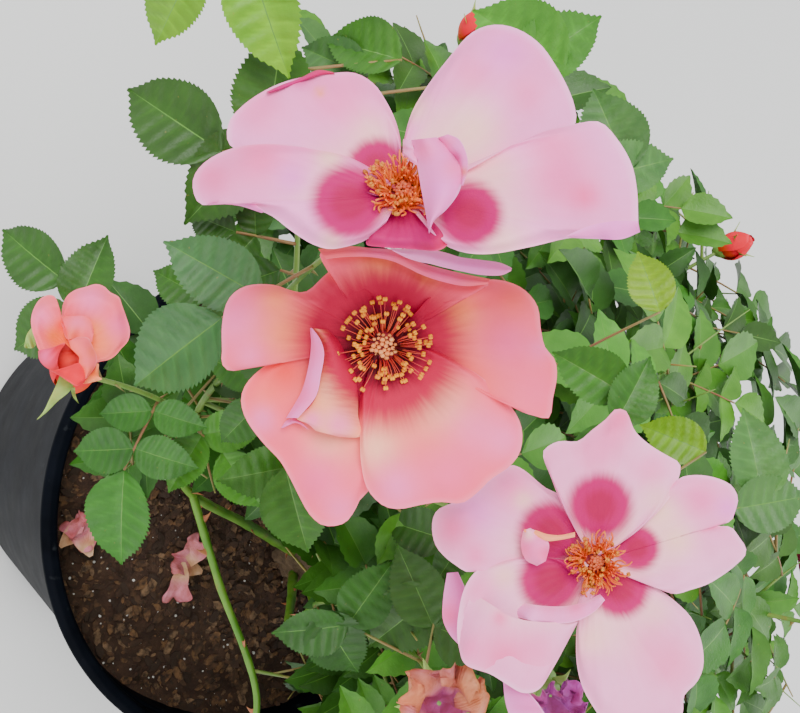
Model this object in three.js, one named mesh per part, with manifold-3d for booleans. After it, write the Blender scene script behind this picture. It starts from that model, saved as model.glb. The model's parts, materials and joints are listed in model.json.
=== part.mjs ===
// A rose bush in its nursery pot. Millimetres, +Z up.
// The origin is the middle of the pot's flat underside, and -Y is the side that is looked at from.
// Canes rise from a graft knuckle, and each ends where it enters a mass of foliage. Each mass
// grows by one seeded rule: a stem, side shoots on it, and pinnate leaves on both. Blooms and
// buds end some of the shoots.
import * as THREE from 'three';
import { mergeVertices } from 'three/addons/utils/BufferGeometryUtils.js';
import Module from 'manifold-3d';

const wasm = await Module();
wasm.setup();

// Pot
const RIM_RADIUS = 140;
const POT_HEIGHT = 235;
const FOOT_RADIUS = 104;
const WALL = 2.4;
const COLLAR_HEIGHT = 22;
const COLLAR_STEP = 2.5;
const LIP_WIDTH = 6;
const LIP_DEPTH = 7;
const POT_FLOOR = 3;
const EDGE_ROUND = 2.5;
const POT_SIDES = 36;

// Soil
const SOIL_TOP = 205;
const SOIL_EDGE = 197;
const SOIL_FLAT_RADIUS = 66;
const CLEARANCE = 0.35;

// Graft knuckle, which stands off the pot's middle, where the canes come from
const KNUCKLE_PLACE = new THREE.Vector3(35, 25, SOIL_TOP + CLEARANCE);
const KNUCKLE_RADIUS = 17;
const KNUCKLE_HEIGHT = 36;
const KNUCKLE_SIDES = 9;
const KNUCKLE_PROFILE = [[0.68, 0], [0.92, 0.2], [1, 0.5], [0.86, 0.78], [0.45, 1]];

// Canes from the knuckle, and boughs from the canes
const LIMB_SIDES = 6;
const LIMB_STEPS = 5;
const CANE_RADII = [3.9, 2.3];
const BOUGH_RADII = [2.8, 2];
const CANE_ROOT_HEIGHT = 20;
const CANE_ROOT_SHARE = 0.88;
const JOINT_GAP = 0.3;

// Shoots
const STEM_RADII = [2.1, 1.3];
const SHOOT_RADII = [1.35, 0.95];
const STEM_REACH = 1.45;
const STEM_LEAD = 0.4;
const STEM_STEPS = 4;
const SHOOT_STEPS = 2;
const SHOOT_LENGTH = 86;
const SHOOTS_PER_MASS = 5;
const SHOOT_PLACES = [0.12, 0.92];
const SHOOT_SHORTENING = [1.1, 0.75];
const SHOOT_VARIETY = 0.15;
const SHOOT_SPREAD = THREE.MathUtils.degToRad(58);
const SHOOT_RISE = 0.16;
const SHOOT_FALL = -0.42;
const TWIG_SIDES = 3;
const GOLDEN_ANGLE = THREE.MathUtils.degToRad(137.5);

// Leaves. Some of the plant's leaves are made here, up to a quota in each mass, and they are
// larger than life where there is room.
const LEAF_SPACING = 17;
const LEAF_STRIDE = 3;
const LEAF_SCALES = [1.6, 1.35, 1.1, 0.85];
const LEAF_TRIES = 5;
const LEAF_QUOTA = 7;
const LEAF_SPREAD = THREE.MathUtils.degToRad(62);
const LEAF_DROOP = 0.22;
const LEAF_VARIETY = 0.2;
const FIRST_NODE = 0.7;
const LEAF_TILT = 0.5;
const LEAFLET_LENGTH = 30;
const LEAFLET_WIDTH = 0.62;
const LEAFLET_WIDEST = 0.44;
const LEAFLET_FOLD = 0.1;
const LEAFLET_THICKNESS = 0.9;
const LEAFLET_ROOT = 0.4;
const RACHIS_LENGTH = 44;
const RACHIS_RADIUS = 1.3;
const FIRST_PAIR = 11;
const PAIR_STEP = 19;
const PAIR_SIZES = [0.86, 0.72, 0.6];
const PAIR_ANGLE = THREE.MathUtils.degToRad(64);

// Blooms
const PETAL_POINTS = 7;
const PETAL_THICKNESS = 1.2;
const PETAL_ROOT = 3;
const BOSS_SHARE = 0.24;
const BOSS_HEIGHT = 5;
const RECEPTACLE_LENGTH = 9;
const RECEPTACLE_RADII = [1.6, 4];
const RECEPTACLE_SIDES = 5;
const BUD_SIDES = 7;
const BUD_PROFILE = [[0, -0.52], [0.36, -0.34], [0.5, 0], [0.42, 0.3], [0, 0.5]];

// The crown is an ellipsoid, open below its skirt
const CROWN_CENTRE = new THREE.Vector3(5, 0, 325);
const CROWN_RADII = new THREE.Vector3(272, 272, 182);
const CROWN_SKIRT = 242;
const SPACE_MARGIN = 0.6;
const LIMB_MARGIN = 1.5;
const BLOOM_MARGIN = 3;
const BLOOM_DEPTH = 15;
const FUSED_VOLUME = 6;
const WELD = 1e-3;
const ROUNDING = 1e-4;

// The view that the plant was measured in: a picture point lies on a ray from the eye
const EYE = new THREE.Vector3(-87, -345, 817);
const TILT = THREE.MathUtils.degToRad(35.5);
const ROLL = THREE.MathUtils.degToRad(-3.6);
const FOCAL = 1200;
const PICTURE_MIDDLE = [400, 356.5];
const LEVEL_RIGHT = new THREE.Vector3(0, Math.cos(TILT), Math.sin(TILT));
const LEVEL_DOWN = new THREE.Vector3(1, 0, 0);
const FORWARD = new THREE.Vector3(0, Math.sin(TILT), -Math.cos(TILT));
const RIGHT = mix(LEVEL_RIGHT, Math.cos(ROLL), LEVEL_DOWN, Math.sin(ROLL));
const DOWN = mix(LEVEL_RIGHT, -Math.sin(ROLL), LEVEL_DOWN, Math.cos(ROLL));
const UP = new THREE.Vector3(0, 0, 1);

// Masses of foliage: the middle of each one's space, and the limb that leads to it. A limb
// leaves the knuckle, or another limb at a share of its length, and passes near its bend.
// A mass ends its stem in what ends names.
const MASSES = [
  { name: 'front_left', centre: [-85, -150, 470], bend: [-18, -93, 296], tip: [-50, -126, 366], quota: 12 },
  { name: 'left', centre: [-190, -15, 375], bend: [-45, 8, 268], tip: [-104, 2, 316], ends: 'bud' },
  { name: 'back_left', centre: [-130, 135, 375], bend: [-28, 62, 272], tip: [-76, 88, 318], ends: 'bud' },
  { name: 'back', centre: [10, 195, 372], bend: [16, 82, 276], tip: [14, 126, 318], ends: 'bloom' },
  { name: 'back_right', centre: [145, 140, 372], bend: [74, 72, 270], tip: [104, 98, 314], ends: 'bloom' },
  { name: 'right', centre: [195, 0, 372], bend: [88, 18, 264], tip: [130, 12, 306], ends: 'bloom' },
  { name: 'middle', centre: [25, -60, 405], bend: [58, -22, 280], tip: [34, -42, 334] },
  {
    name: 'front_right', centre: [155, -120, 368], bend: [84, -62, 322], tip: [112, -84, 330],
    from: 'front_left', share: 0.62, ends: 'bloom',
  },
  {
    name: 'crown_left', centre: [-70, 45, 455], bend: [-30, 30, 320], tip: [-44, 38, 376],
    from: 'left', share: 0.42,
  },
  {
    name: 'crown_back', centre: [20, 110, 465], bend: [22, 70, 330], tip: [20, 86, 384],
    from: 'back', share: 0.4, ends: 'bud',
  },
  {
    name: 'crown_right', centre: [85, 15, 455], bend: [74, 22, 310], tip: [78, 18, 372],
    from: 'right', share: 0.34, ends: 'bloom',
  },
];

// Blooms with a chosen place. Each petal has its turn from the picture's right, its reach and
// width in millimetres, and the degrees that it lifts out of the bloom's plane.
const BLOOMS = [
  {
    name: 'one', mass: 'front_left', share: 0.62, bend: [300, 250, 360],
    place: [400, 195, 268], facing: [-0.49, -0.535, 0.69],
    petals: [
      { turn: 134, reach: 43, width: 36, lift: 20 },
      { turn: 186, reach: 47, width: 28, lift: 12 },
      { turn: 52, reach: 47, width: 36, lift: 20 },
      { turn: 3, reach: 52, width: 34, lift: 8 },
      { turn: 282, reach: 26, width: 24, lift: 40 },
    ],
  },
  {
    name: 'two', mass: 'front_left', share: 1, bend: [380, 380, 400],
    place: [385, 345, 304], facing: [0.01, -0.5, 0.86],
    petals: [
      { turn: 162, reach: 41, width: 31, lift: 12 },
      { turn: 238, reach: 45, width: 34, lift: 12 },
      { turn: 302, reach: 44, width: 38, lift: 10 },
      { turn: 2, reach: 43, width: 35, lift: 10 },
      { turn: 72, reach: 28, width: 38, lift: 28 },
    ],
  },
  {
    name: 'three', mass: 'front_left', share: 0.3, bend: [520, 540, 400],
    place: [592, 562, 335], facing: [-0.12, -0.6, 0.8],
    petals: [
      { turn: 83, reach: 43, width: 37, lift: 10 },
      { turn: 14, reach: 43, width: 35, lift: 10 },
      { turn: 299, reach: 46, width: 36, lift: 10 },
      { turn: 230, reach: 44, width: 35, lift: 12 },
      { turn: 164, reach: 44, width: 31, lift: 10 },
    ],
  },
];
const COMMON_TURNS = [4, 71, 146, 217, 289];
const COMMON_PETALS = COMMON_TURNS.map((turn, i) => ({ turn, reach: 42, width: 35, lift: 12 + 2 * i }));

// Buds and spent flowers with a chosen place
const BUDS = [
  {
    name: 'half_open', mass: 'front_left', share: 0.12, bend: [155, 388, 368],
    place: [72, 352, 331], facing: [-0.64, -0.3, 0.7], size: 27,
  },
  {
    name: 'spent_low', mass: 'middle', share: 0.5, bend: [430, 650, 430],
    place: [438, 700, 385], facing: [0, -0.5, 0.86], size: 24,
  },
  {
    name: 'spent_mauve', mass: 'middle', share: 0.8, bend: [530, 640, 430],
    place: [548, 690, 392], facing: [0.3, -0.4, 0.8], size: 17,
  },
];

// A young shoot that arches over with no flower, and bears two of the chosen leaves
const ARCHES = [
  { mass: 'front_left', share: 0.9, bend: [318, 70, 350], end: [226, -64, 334] },
];

// Leaves with a chosen place: the rachis's end, the tip of its last leaflet, and the pairs
const SEEN_LEAVES = [
  { mass: 'front_left', end: [215, 150, 345], tip: [120, 85, 350], pairs: 1 },
  { mass: 'front_left', end: [195, -36, 330], tip: [152, 44, 334], pairs: 0 },
  { mass: 'front_left', end: [248, -44, 328], tip: [286, 78, 334], pairs: 0 },
  { mass: 'front_left', end: [66, 282, 358], tip: [-5, 228, 362], pairs: 2 },
  { mass: 'front_left', end: [206, 300, 372], tip: [150, 268, 376], pairs: 0 },
  { mass: 'front_left', end: [236, 232, 350], tip: [186, 212, 356], pairs: 1 },
  { mass: 'front_left', end: [222, 318, 330], tip: [130, 386, 336], pairs: 1 },
  { mass: 'front_left', end: [125, 472, 402], tip: [120, 568, 408], pairs: 2 },
  { mass: 'front_left', end: [222, 452, 408], tip: [262, 512, 414], pairs: 2 },
  { mass: 'front_left', end: [285, 467, 396], tip: [308, 557, 402], pairs: 1 },
  { mass: 'middle', end: [320, 610, 420], tip: [358, 682, 426], pairs: 1 },
  { mass: 'middle', end: [440, 590, 420], tip: [366, 650, 424], pairs: 1 },
];

// Parts of the picture that look through to the pot, the soil and the ground, as corners
const OPEN_VIEWS = [
  [[-400, -400], [125, -400], [125, 80], [230, 78], [300, 85], [190, 205], [125, 245], [60, 212],
    [-400, 212]],
  [[-400, 290], [30, 290], [30, 400], [75, 470], [100, 560], [130, 575], [165, 480],
    [215, 500], [290, 565], [300, 620], [245, 640], [300, 720], [300, 900], [-400, 900]],
  [[640, 75], [760, 75], [740, 160], [655, 165]],
];

function vector(list) {
  return new THREE.Vector3(...list);
}

function mix(a, shareA, b, shareB) {
  return a.clone().multiplyScalar(shareA).addScaledVector(b, shareB);
}

// The place at a picture point, at a distance along the view
function seen([across, down, distance]) {
  return EYE.clone()
    .addScaledVector(FORWARD, distance)
    .addScaledVector(RIGHT, (distance * (across - PICTURE_MIDDLE[0])) / FOCAL)
    .addScaledVector(DOWN, (distance * (down - PICTURE_MIDDLE[1])) / FOCAL);
}

// The picture point that a place is seen at
function pictured(place) {
  const from = place.clone().sub(EYE);
  const distance = from.dot(FORWARD);
  return [
    PICTURE_MIDDLE[0] + (FOCAL * from.dot(RIGHT)) / distance,
    PICTURE_MIDDLE[1] + (FOCAL * from.dot(DOWN)) / distance,
  ];
}

// A repeatable number from 0 to 1 for a row of whole numbers
function chance(...keys) {
  let mixed = 2166136261;
  for (const key of keys) {
    mixed = Math.imul(mixed ^ key, 16777619);
    mixed = Math.imul(mixed ^ (mixed >>> 13), 1540483477);
    mixed ^= mixed >>> 15;
  }
  return (mixed >>> 0) / 4294967296;
}

// A number near 1, by at most an amount
function varied(amount, ...keys) {
  return 1 - amount + 2 * amount * chance(...keys);
}

// Solids

function solidOf(geometry) {
  const bare = geometry.clone();
  bare.deleteAttribute('normal');
  bare.deleteAttribute('uv');
  const merged = mergeVertices(bare, 1e-4);
  const corners = Array.from(merged.index.array);
  const kept = [];
  for (let i = 0; i < corners.length; i += 3) {
    const [a, b, c] = corners.slice(i, i + 3);
    if (a !== b && b !== c && c !== a) kept.push(a, b, c);
  }
  return new wasm.Manifold(new wasm.Mesh({
    numProp: 3,
    vertProperties: merged.attributes.position.array,
    triVerts: new Uint32Array(kept),
  }));
}

function geometryOf(solid) {
  const mesh = solid.getMesh();
  return new THREE.BufferGeometry()
    .setAttribute('position', new THREE.BufferAttribute(new Float32Array(mesh.vertProperties), 3))
    .setIndex(new THREE.BufferAttribute(new Uint32Array(mesh.triVerts), 1));
}

// Whether a solid's skin stays closed when its corners are welded and rounded
function weldsClosed(solid) {
  const welded = mergeVertices(geometryOf(solid), WELD);
  const place = welded.attributes.position;
  const names = new Map();
  const corners = [];
  for (let i = 0; i < place.count; i += 1) {
    const spot = [place.getX(i), place.getY(i), place.getZ(i)];
    const name = spot.map((value) => Math.round(value / ROUNDING)).join();
    if (!names.has(name)) names.set(name, names.size);
    corners.push(names.get(name));
  }
  const uses = new Map();
  for (let i = 0; i < welded.index.count; i += 3) {
    const face = [0, 1, 2].map((k) => corners[welded.index.getX(i + k)]);
    if (new Set(face).size < 3) continue;
    face.forEach((from, k) => {
      const to = face[(k + 1) % 3];
      const edge = Math.min(from, to) * names.size + Math.max(from, to);
      uses.set(edge, (uses.get(edge) || 0) + 1);
    });
  }
  return [...uses.values()].every((count) => count === 2);
}

// The largest outer skin of a solid: a loose scrap is dropped, and a sealed hollow is filled
function wholeBody(solid) {
  const bodies = solid.decompose();
  return bodies.reduce((best, body) => (body.volume() > best.volume() ? body : best));
}

function turned(profile, sides) {
  const points = profile.map(([radius, height]) => new THREE.Vector2(radius, height));
  return new THREE.LatheGeometry(points, sides).rotateX(Math.PI / 2);
}

// Puts a geometry's X along forward, and its Z as near to up as it goes
function placed(geometry, origin, forward, up) {
  const x = forward.clone().normalize();
  const y = new THREE.Vector3().crossVectors(up, x).normalize();
  const z = new THREE.Vector3().crossVectors(x, y);
  const matrix = new THREE.Matrix4().makeBasis(x, y, z).setPosition(origin);
  return geometry.applyMatrix4(matrix);
}

// A tapering skin on a row of places, closed at both ends
function taperedSkin(places, radii, sides) {
  const positions = [];
  const faces = [];
  let side = new THREE.Vector3().crossVectors(UP, places[1].clone().sub(places[0]));
  if (side.length() < 1e-6) side = new THREE.Vector3(1, 0, 0);
  places.forEach((place, i) => {
    const before = places[Math.max(i - 1, 0)];
    const after = places[Math.min(i + 1, places.length - 1)];
    const along = after.clone().sub(before).normalize();
    side.addScaledVector(along, -side.dot(along)).normalize();
    const other = new THREE.Vector3().crossVectors(along, side);
    const radius = THREE.MathUtils.lerp(radii[0], radii[1], i / (places.length - 1));
    for (let k = 0; k < sides; k += 1) {
      const angle = Math.PI / 2 + (2 * Math.PI * k) / sides;
      const spot = place.clone()
        .addScaledVector(side, radius * Math.cos(angle))
        .addScaledVector(other, radius * Math.sin(angle));
      positions.push(spot.x, spot.y, spot.z);
    }
  });
  const last = (places.length - 1) * sides;
  for (let i = 0; i < places.length - 1; i += 1) {
    for (let k = 0; k < sides; k += 1) {
      const a = i * sides + k;
      const b = i * sides + ((k + 1) % sides);
      faces.push(a, b, a + sides, b, b + sides, a + sides);
    }
  }
  for (let k = 1; k < sides - 1; k += 1) {
    faces.push(0, k + 1, k, last, last + k, last + k + 1);
  }
  return new THREE.BufferGeometry()
    .setAttribute('position', new THREE.Float32BufferAttribute(positions, 3))
    .setIndex(faces);
}

// Pot, soil and knuckle

function potGeometry() {
  const collarFoot = POT_HEIGHT - COLLAR_HEIGHT;
  const collar = RIM_RADIUS - LIP_WIDTH;
  const wallTop = collar - COLLAR_STEP;
  const lipFoot = POT_HEIGHT - LIP_DEPTH;
  return turned([
    [0, 0],
    [FOOT_RADIUS - EDGE_ROUND, 0],
    [FOOT_RADIUS, EDGE_ROUND],
    [wallTop, collarFoot],
    [collar, collarFoot + 1],
    [collar, lipFoot],
    [RIM_RADIUS - 1, lipFoot],
    [RIM_RADIUS, lipFoot + 2],
    [RIM_RADIUS, POT_HEIGHT - 2],
    [RIM_RADIUS - 2, POT_HEIGHT],
    [collar - 1, POT_HEIGHT],
    [collar - WALL, POT_HEIGHT - 2],
    [collar - WALL, collarFoot - 1],
    [wallTop - WALL, collarFoot - 3],
    [FOOT_RADIUS - WALL, POT_FLOOR],
    [0, POT_FLOOR],
  ], POT_SIDES);
}

function insideRadius(height) {
  const wallTop = RIM_RADIUS - LIP_WIDTH - COLLAR_STEP;
  const share = (height - POT_FLOOR) / (POT_HEIGHT - COLLAR_HEIGHT - 3 - POT_FLOOR);
  return THREE.MathUtils.lerp(FOOT_RADIUS - WALL, wallTop - WALL, share);
}

function soilGeometry() {
  const base = POT_FLOOR + CLEARANCE;
  return turned([
    [0, base],
    [insideRadius(base) - CLEARANCE, base],
    [insideRadius(SOIL_EDGE) - CLEARANCE, SOIL_EDGE],
    [SOIL_FLAT_RADIUS + 34, SOIL_EDGE + 4],
    [SOIL_FLAT_RADIUS, SOIL_TOP],
    [0, SOIL_TOP],
  ], POT_SIDES);
}

function knuckleSolid(limbs) {
  const rings = KNUCKLE_PROFILE.map(([radius, height]) => [radius * KNUCKLE_RADIUS, height * KNUCKLE_HEIGHT]);
  const lump = turned([[0, 0], ...rings, [0, KNUCKLE_HEIGHT]], KNUCKLE_SIDES);
  let solid = solidOf(lump.translate(...KNUCKLE_PLACE.toArray()));
  for (const limb of limbs) solid = solid.subtract(solidOf(limbSkin(limb, JOINT_GAP)));
  return wholeBody(solid);
}

// Limbs

function limbOf(mass, limbs) {
  const tip = vector(mass.tip);
  const bend = vector(mass.bend);
  const parent = limbs.find((limb) => limb.mass === mass.from);
  let root = KNUCKLE_PLACE.clone().addScaledVector(UP, CANE_ROOT_HEIGHT);
  if (parent) {
    root = parent.route.getPoint(mass.share);
  } else {
    const outward = bend.clone().sub(root).setZ(0).setLength(KNUCKLE_RADIUS * CANE_ROOT_SHARE);
    root.add(outward);
  }
  const lean = parent
    ? mix(root, 0.6, bend, 0.4)
    : mix(root, 0.55, bend, 0.45);
  const route = new THREE.CatmullRomCurve3([root, lean, bend, tip], false, 'centripetal');
  return {
    mass: mass.name,
    name: (parent ? 'bough_' : 'cane_') + mass.name,
    parent,
    route,
    places: route.getPoints(LIMB_STEPS),
    radii: parent ? BOUGH_RADII : CANE_RADII,
  };
}

function limbSkin(limb, extra) {
  return taperedSkin(limb.places, limb.radii.map((radius) => radius + extra), LIMB_SIDES);
}

function limbSolid(limb) {
  const solid = solidOf(limbSkin(limb, 0));
  if (!limb.parent) return solid;
  return wholeBody(solid.subtract(solidOf(limbSkin(limb.parent, JOINT_GAP))));
}

// Shoots

function shoot(root, bend, end, steps, radii) {
  const route = new THREE.QuadraticBezierCurve3(root, bend, end);
  return { route, length: route.getLength(), places: route.getPoints(steps), radii };
}

function crossAxes(along) {
  const side = new THREE.Vector3().crossVectors(UP, along);
  if (side.length() < 0.05) side.set(1, 0, 0).addScaledVector(along, -along.x);
  side.normalize();
  return [side, new THREE.Vector3().crossVectors(along, side)];
}

function around(along, angle, spread) {
  const [side, other] = crossAxes(along);
  const outward = mix(side, Math.cos(angle), other, Math.sin(angle));
  return mix(along, Math.cos(spread), outward, Math.sin(spread)).normalize();
}

// The stem goes on from its limb's tip, through the middle of the mass's space
function stemOf(mass, limb) {
  const leave = limb.route.getTangent(1);
  const root = vector(mass.tip).addScaledVector(leave, JOINT_GAP);
  const centre = vector(mass.centre);
  const end = root.clone().addScaledVector(centre.clone().sub(root), STEM_REACH);
  const bend = root.clone().addScaledVector(leave, STEM_LEAD * end.distanceTo(root));
  return shoot(root, bend, end, STEM_STEPS, STEM_RADII);
}

function sideShoot(stem, massIndex, index, length) {
  const share = THREE.MathUtils.lerp(...SHOOT_PLACES, index / (SHOOTS_PER_MASS - 1));
  const root = stem.route.getPoint(share);
  const along = stem.route.getTangent(share);
  const angle = GOLDEN_ANGLE * index + 2 * Math.PI * chance(massIndex, 7);
  const heading = around(along, angle, SHOOT_SPREAD * varied(SHOOT_VARIETY, massIndex, index, 1));
  heading.z = Math.max(heading.z, SHOOT_FALL);
  const shorter = THREE.MathUtils.lerp(...SHOOT_SHORTENING, share);
  const reach = length * shorter * varied(SHOOT_VARIETY, massIndex, index, 2);
  const bend = root.clone().addScaledVector(heading, reach * 0.5);
  const end = root.clone().addScaledVector(heading, reach).addScaledVector(UP, reach * SHOOT_RISE);
  return shoot(root, bend, end, SHOOT_STEPS, SHOOT_RADII);
}

// Leaves

function leafletGeometry(length) {
  const geometry = new THREE.OctahedronGeometry(1);
  const place = geometry.attributes.position;
  for (let i = 0; i < place.count; i += 1) {
    const [x, y, z] = [place.getX(i), place.getY(i), place.getZ(i)].map(Math.round);
    const along = x === 0 ? LEAFLET_WIDEST : (x + 1) / 2;
    place.setXYZ(
      i,
      along * length,
      (y * LEAFLET_WIDTH * length) / 2,
      Math.abs(y) * LEAFLET_FOLD * length + (z * LEAFLET_THICKNESS) / 2,
    );
  }
  return geometry;
}

// A rachis from its root to its end, a last leaflet to the tip, and pairs behind the end
function compoundLeaf(root, end, tip, pairs, up) {
  const along = end.clone().sub(root);
  const rachisLength = along.length();
  along.normalize();
  const forward = tip.clone().sub(end);
  const size = forward.length();
  forward.normalize();
  const across = new THREE.Vector3().crossVectors(forward, up).normalize();
  const leaflets = [{ base: end, forward, size }];
  for (let pair = 0; pair < pairs; pair += 1) {
    const back = (FIRST_PAIR + PAIR_STEP * pair) * (size / LEAFLET_LENGTH);
    if (back > rachisLength * 0.85) break;
    for (const hand of [-1, 1]) {
      leaflets.push({
        base: end.clone().addScaledVector(along, -back),
        forward: mix(along, Math.cos(PAIR_ANGLE), across, hand * Math.sin(PAIR_ANGLE)).normalize(),
        size: size * PAIR_SIZES[pair],
      });
    }
  }
  return { root, end, leaflets, up };
}

function leafSpots(leaf) {
  const spots = [0.35, 0.6, 0.85, 1].map((share) => mix(leaf.root, 1 - share, leaf.end, share));
  for (const { base, forward, size } of leaf.leaflets) {
    const halfWidth = (size * LEAFLET_WIDTH) / 2;
    const across = new THREE.Vector3().crossVectors(forward, leaf.up).setLength(halfWidth);
    for (const share of [0.25, 0.5, 0.75, 1]) {
      const spot = base.clone().addScaledVector(forward, size * share);
      const width = share === 1 ? 0 : 1 - Math.abs(share - LEAFLET_WIDEST);
      spots.push(spot);
      if (width > 0) {
        spots.push(spot.clone().addScaledVector(across, width));
        spots.push(spot.clone().addScaledVector(across, -width));
      }
    }
  }
  return spots;
}

function leafSolid(leaf) {
  const rachis = taperedSkin([leaf.root, leaf.end], [RACHIS_RADIUS, RACHIS_RADIUS * 0.8], TWIG_SIDES);
  let solid = solidOf(rachis);
  for (const { base, forward, size } of leaf.leaflets) {
    const root = base.clone().addScaledVector(forward, -LEAFLET_ROOT);
    solid = solid.add(solidOf(placed(leafletGeometry(size + LEAFLET_ROOT), root, forward, leaf.up)));
  }
  return solid;
}

function crownNormal(place) {
  return place.clone().sub(CROWN_CENTRE).divide(CROWN_RADII).divide(CROWN_RADII).normalize();
}

// The leaf at a node of a shoot: round the shoot by the golden angle, and up to the light
function grownLeaf(grown, massIndex, shootIndex, node, scale, turn) {
  const distance = (node + FIRST_NODE) * LEAF_SPACING;
  const share = Math.min(distance / grown.length, 1);
  const root = grown.route.getPoint(share);
  const along = grown.route.getTangent(share);
  const angle = GOLDEN_ANGLE * node + 2 * Math.PI * (chance(massIndex, shootIndex, 11) + turn);
  const heading = around(along, angle, LEAF_SPREAD);
  if (heading.z < 0) heading.z *= -0.4;
  heading.normalize();
  const rachis = RACHIS_LENGTH * scale * varied(LEAF_VARIETY, massIndex, shootIndex, node, 12);
  const size = LEAFLET_LENGTH * scale * varied(LEAF_VARIETY, massIndex, shootIndex, node, 13);
  const end = root.clone().addScaledVector(heading, rachis);
  const tip = end.clone().addScaledVector(heading, size).addScaledVector(UP, -size * LEAF_DROOP);
  const up = mix(UP, 0.8, crownNormal(end), 0.8);
  up.x += LEAF_TILT * (chance(massIndex, shootIndex, node, 14) - 0.5);
  up.y += LEAF_TILT * (chance(massIndex, shootIndex, node, 15) - 0.5);
  return compoundLeaf(root, end, tip, 2, up.normalize());
}

// Blooms and buds

function bloomAxes(facing) {
  const axis = facing.clone().normalize();
  const right = RIGHT.clone().addScaledVector(axis, -RIGHT.dot(axis)).normalize();
  return { axis, right, above: new THREE.Vector3().crossVectors(axis, right) };
}

function petalGeometry({ reach, width, lift }) {
  const geometry = new THREE.SphereGeometry(1, PETAL_POINTS, 2).rotateX(Math.PI / 2);
  const place = geometry.attributes.position;
  const rise = Math.tan(THREE.MathUtils.degToRad(lift));
  for (let i = 0; i < place.count; i += 1) {
    const share = (place.getX(i) + 1) / 2;
    const across = place.getY(i) * (0.5 + 0.62 * share) * (width / 2);
    const cup = rise * reach * share * (0.6 + 0.4 * share) + 0.004 * across * across;
    place.setXYZ(i, PETAL_ROOT + reach * share, across, cup + (place.getZ(i) * PETAL_THICKNESS) / 2);
  }
  return geometry;
}

function bloomSolid(bloom) {
  const { axis, right, above } = bloomAxes(bloom.facing);
  const reach = Math.max(...bloom.petals.map((petal) => petal.reach));
  const boss = new THREE.SphereGeometry(1, 6, 3).rotateX(Math.PI / 2);
  boss.scale(reach * BOSS_SHARE, reach * BOSS_SHARE, BOSS_HEIGHT);
  let solid = solidOf(placed(boss, bloom.centre, right, axis));
  const foot = bloomFoot(bloom);
  const receptacle = taperedSkin([foot, bloom.centre], RECEPTACLE_RADII, RECEPTACLE_SIDES);
  solid = solid.add(solidOf(receptacle));
  for (const petal of bloom.petals) {
    const turn = THREE.MathUtils.degToRad(petal.turn);
    const heading = mix(right, Math.cos(turn), above, Math.sin(turn));
    solid = solid.add(solidOf(placed(petalGeometry(petal), bloom.centre, heading, axis)));
  }
  return solid;
}

function bloomFoot(bloom) {
  return bloom.centre.clone().addScaledVector(bloom.facing, -RECEPTACLE_LENGTH);
}

function budSolid(bud) {
  const profile = BUD_PROFILE.map(([radius, height]) => [radius * bud.size, height * bud.size]);
  const egg = turned(profile, BUD_SIDES);
  const { axis, right } = bloomAxes(bud.facing);
  return solidOf(placed(egg, bud.centre, right, axis));
}

function budFoot(bud) {
  return bud.centre.clone().addScaledVector(bud.facing, -bud.size * 0.4);
}

// Space

function inOwnSpace(place, mass) {
  const own = vector(mass.centre);
  return MASSES.every((other) => {
    if (other === mass) return true;
    const away = vector(other.centre);
    const room = place.distanceToSquared(away) - place.distanceToSquared(own);
    return room > 2 * SPACE_MARGIN * own.distanceTo(away);
  });
}

function inCrown(place) {
  const from = place.clone().sub(CROWN_CENTRE).divide(CROWN_RADII);
  return from.length() < 1 && place.z > CROWN_SKIRT;
}

function clearOfLimbs(place, limbs) {
  return limbs.every((limb) => {
    const room = limb.radii[0] + LIMB_MARGIN;
    return limb.places.slice(1).every((end, i) => {
      const part = new THREE.Line3(limb.places[i], end);
      return part.closestPointToPoint(place, true, new THREE.Vector3()).distanceTo(place) > room;
    });
  });
}

function clearOfBlooms(place, flowers) {
  return flowers.every((flower) => {
    const from = place.clone().sub(flower.centre);
    const height = from.dot(flower.facing);
    const spread = Math.sqrt(Math.max(from.lengthSq() - height * height, 0));
    return Math.abs(height) > flower.depth || spread > flower.spread;
  });
}

function openToView(place) {
  const [across, down] = pictured(place);
  return OPEN_VIEWS.some((corners) => {
    let inside = false;
    corners.forEach(([x, y], i) => {
      const [u, v] = corners[(i + corners.length - 1) % corners.length];
      if ((y > down) !== (v > down) && across < ((u - x) * (down - y)) / (v - y) + x) inside = !inside;
    });
    return inside;
  });
}

// One mass: its stem and side shoots, then what ends them, then the leaves

function flowersOf(mass, stem) {
  const end = stem.places.at(-1);
  const facing = crownNormal(end).add(UP).normalize();
  const blooms = BLOOMS.filter((bloom) => bloom.mass === mass.name)
    .map((bloom) => ({ ...bloom, centre: seen(bloom.place), facing: vector(bloom.facing).normalize() }));
  const buds = BUDS.filter((bud) => bud.mass === mass.name)
    .map((bud) => ({ ...bud, centre: seen(bud.place), facing: vector(bud.facing).normalize() }));
  if (mass.ends === 'bloom') {
    const centre = end.clone().addScaledVector(facing, RECEPTACLE_LENGTH);
    blooms.push({ name: 'end', centre, facing, petals: COMMON_PETALS });
  }
  if (mass.ends === 'bud') {
    buds.push({ name: 'end', centre: end.clone().addScaledVector(facing, 6), facing, size: 18 });
  }
  for (const bloom of blooms) {
    bloom.spread = Math.max(...bloom.petals.map((petal) => petal.reach)) + BLOOM_MARGIN;
    bloom.depth = BLOOM_DEPTH;
  }
  for (const bud of buds) {
    bud.spread = bud.size / 2 + BLOOM_MARGIN;
    bud.depth = bud.size / 2 + BLOOM_MARGIN;
  }
  return { blooms, buds };
}

// A shoot with a chosen root on the stem and a chosen bend
function chosenShoot(chosen, end, stem) {
  const root = stem.route.getPoint(chosen.share);
  return shoot(root, seen(chosen.bend), end, SHOOT_STEPS + 1, SHOOT_RADII);
}

function archesOf(mass) {
  return ARCHES.filter((arch) => arch.mass === mass.name);
}

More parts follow.
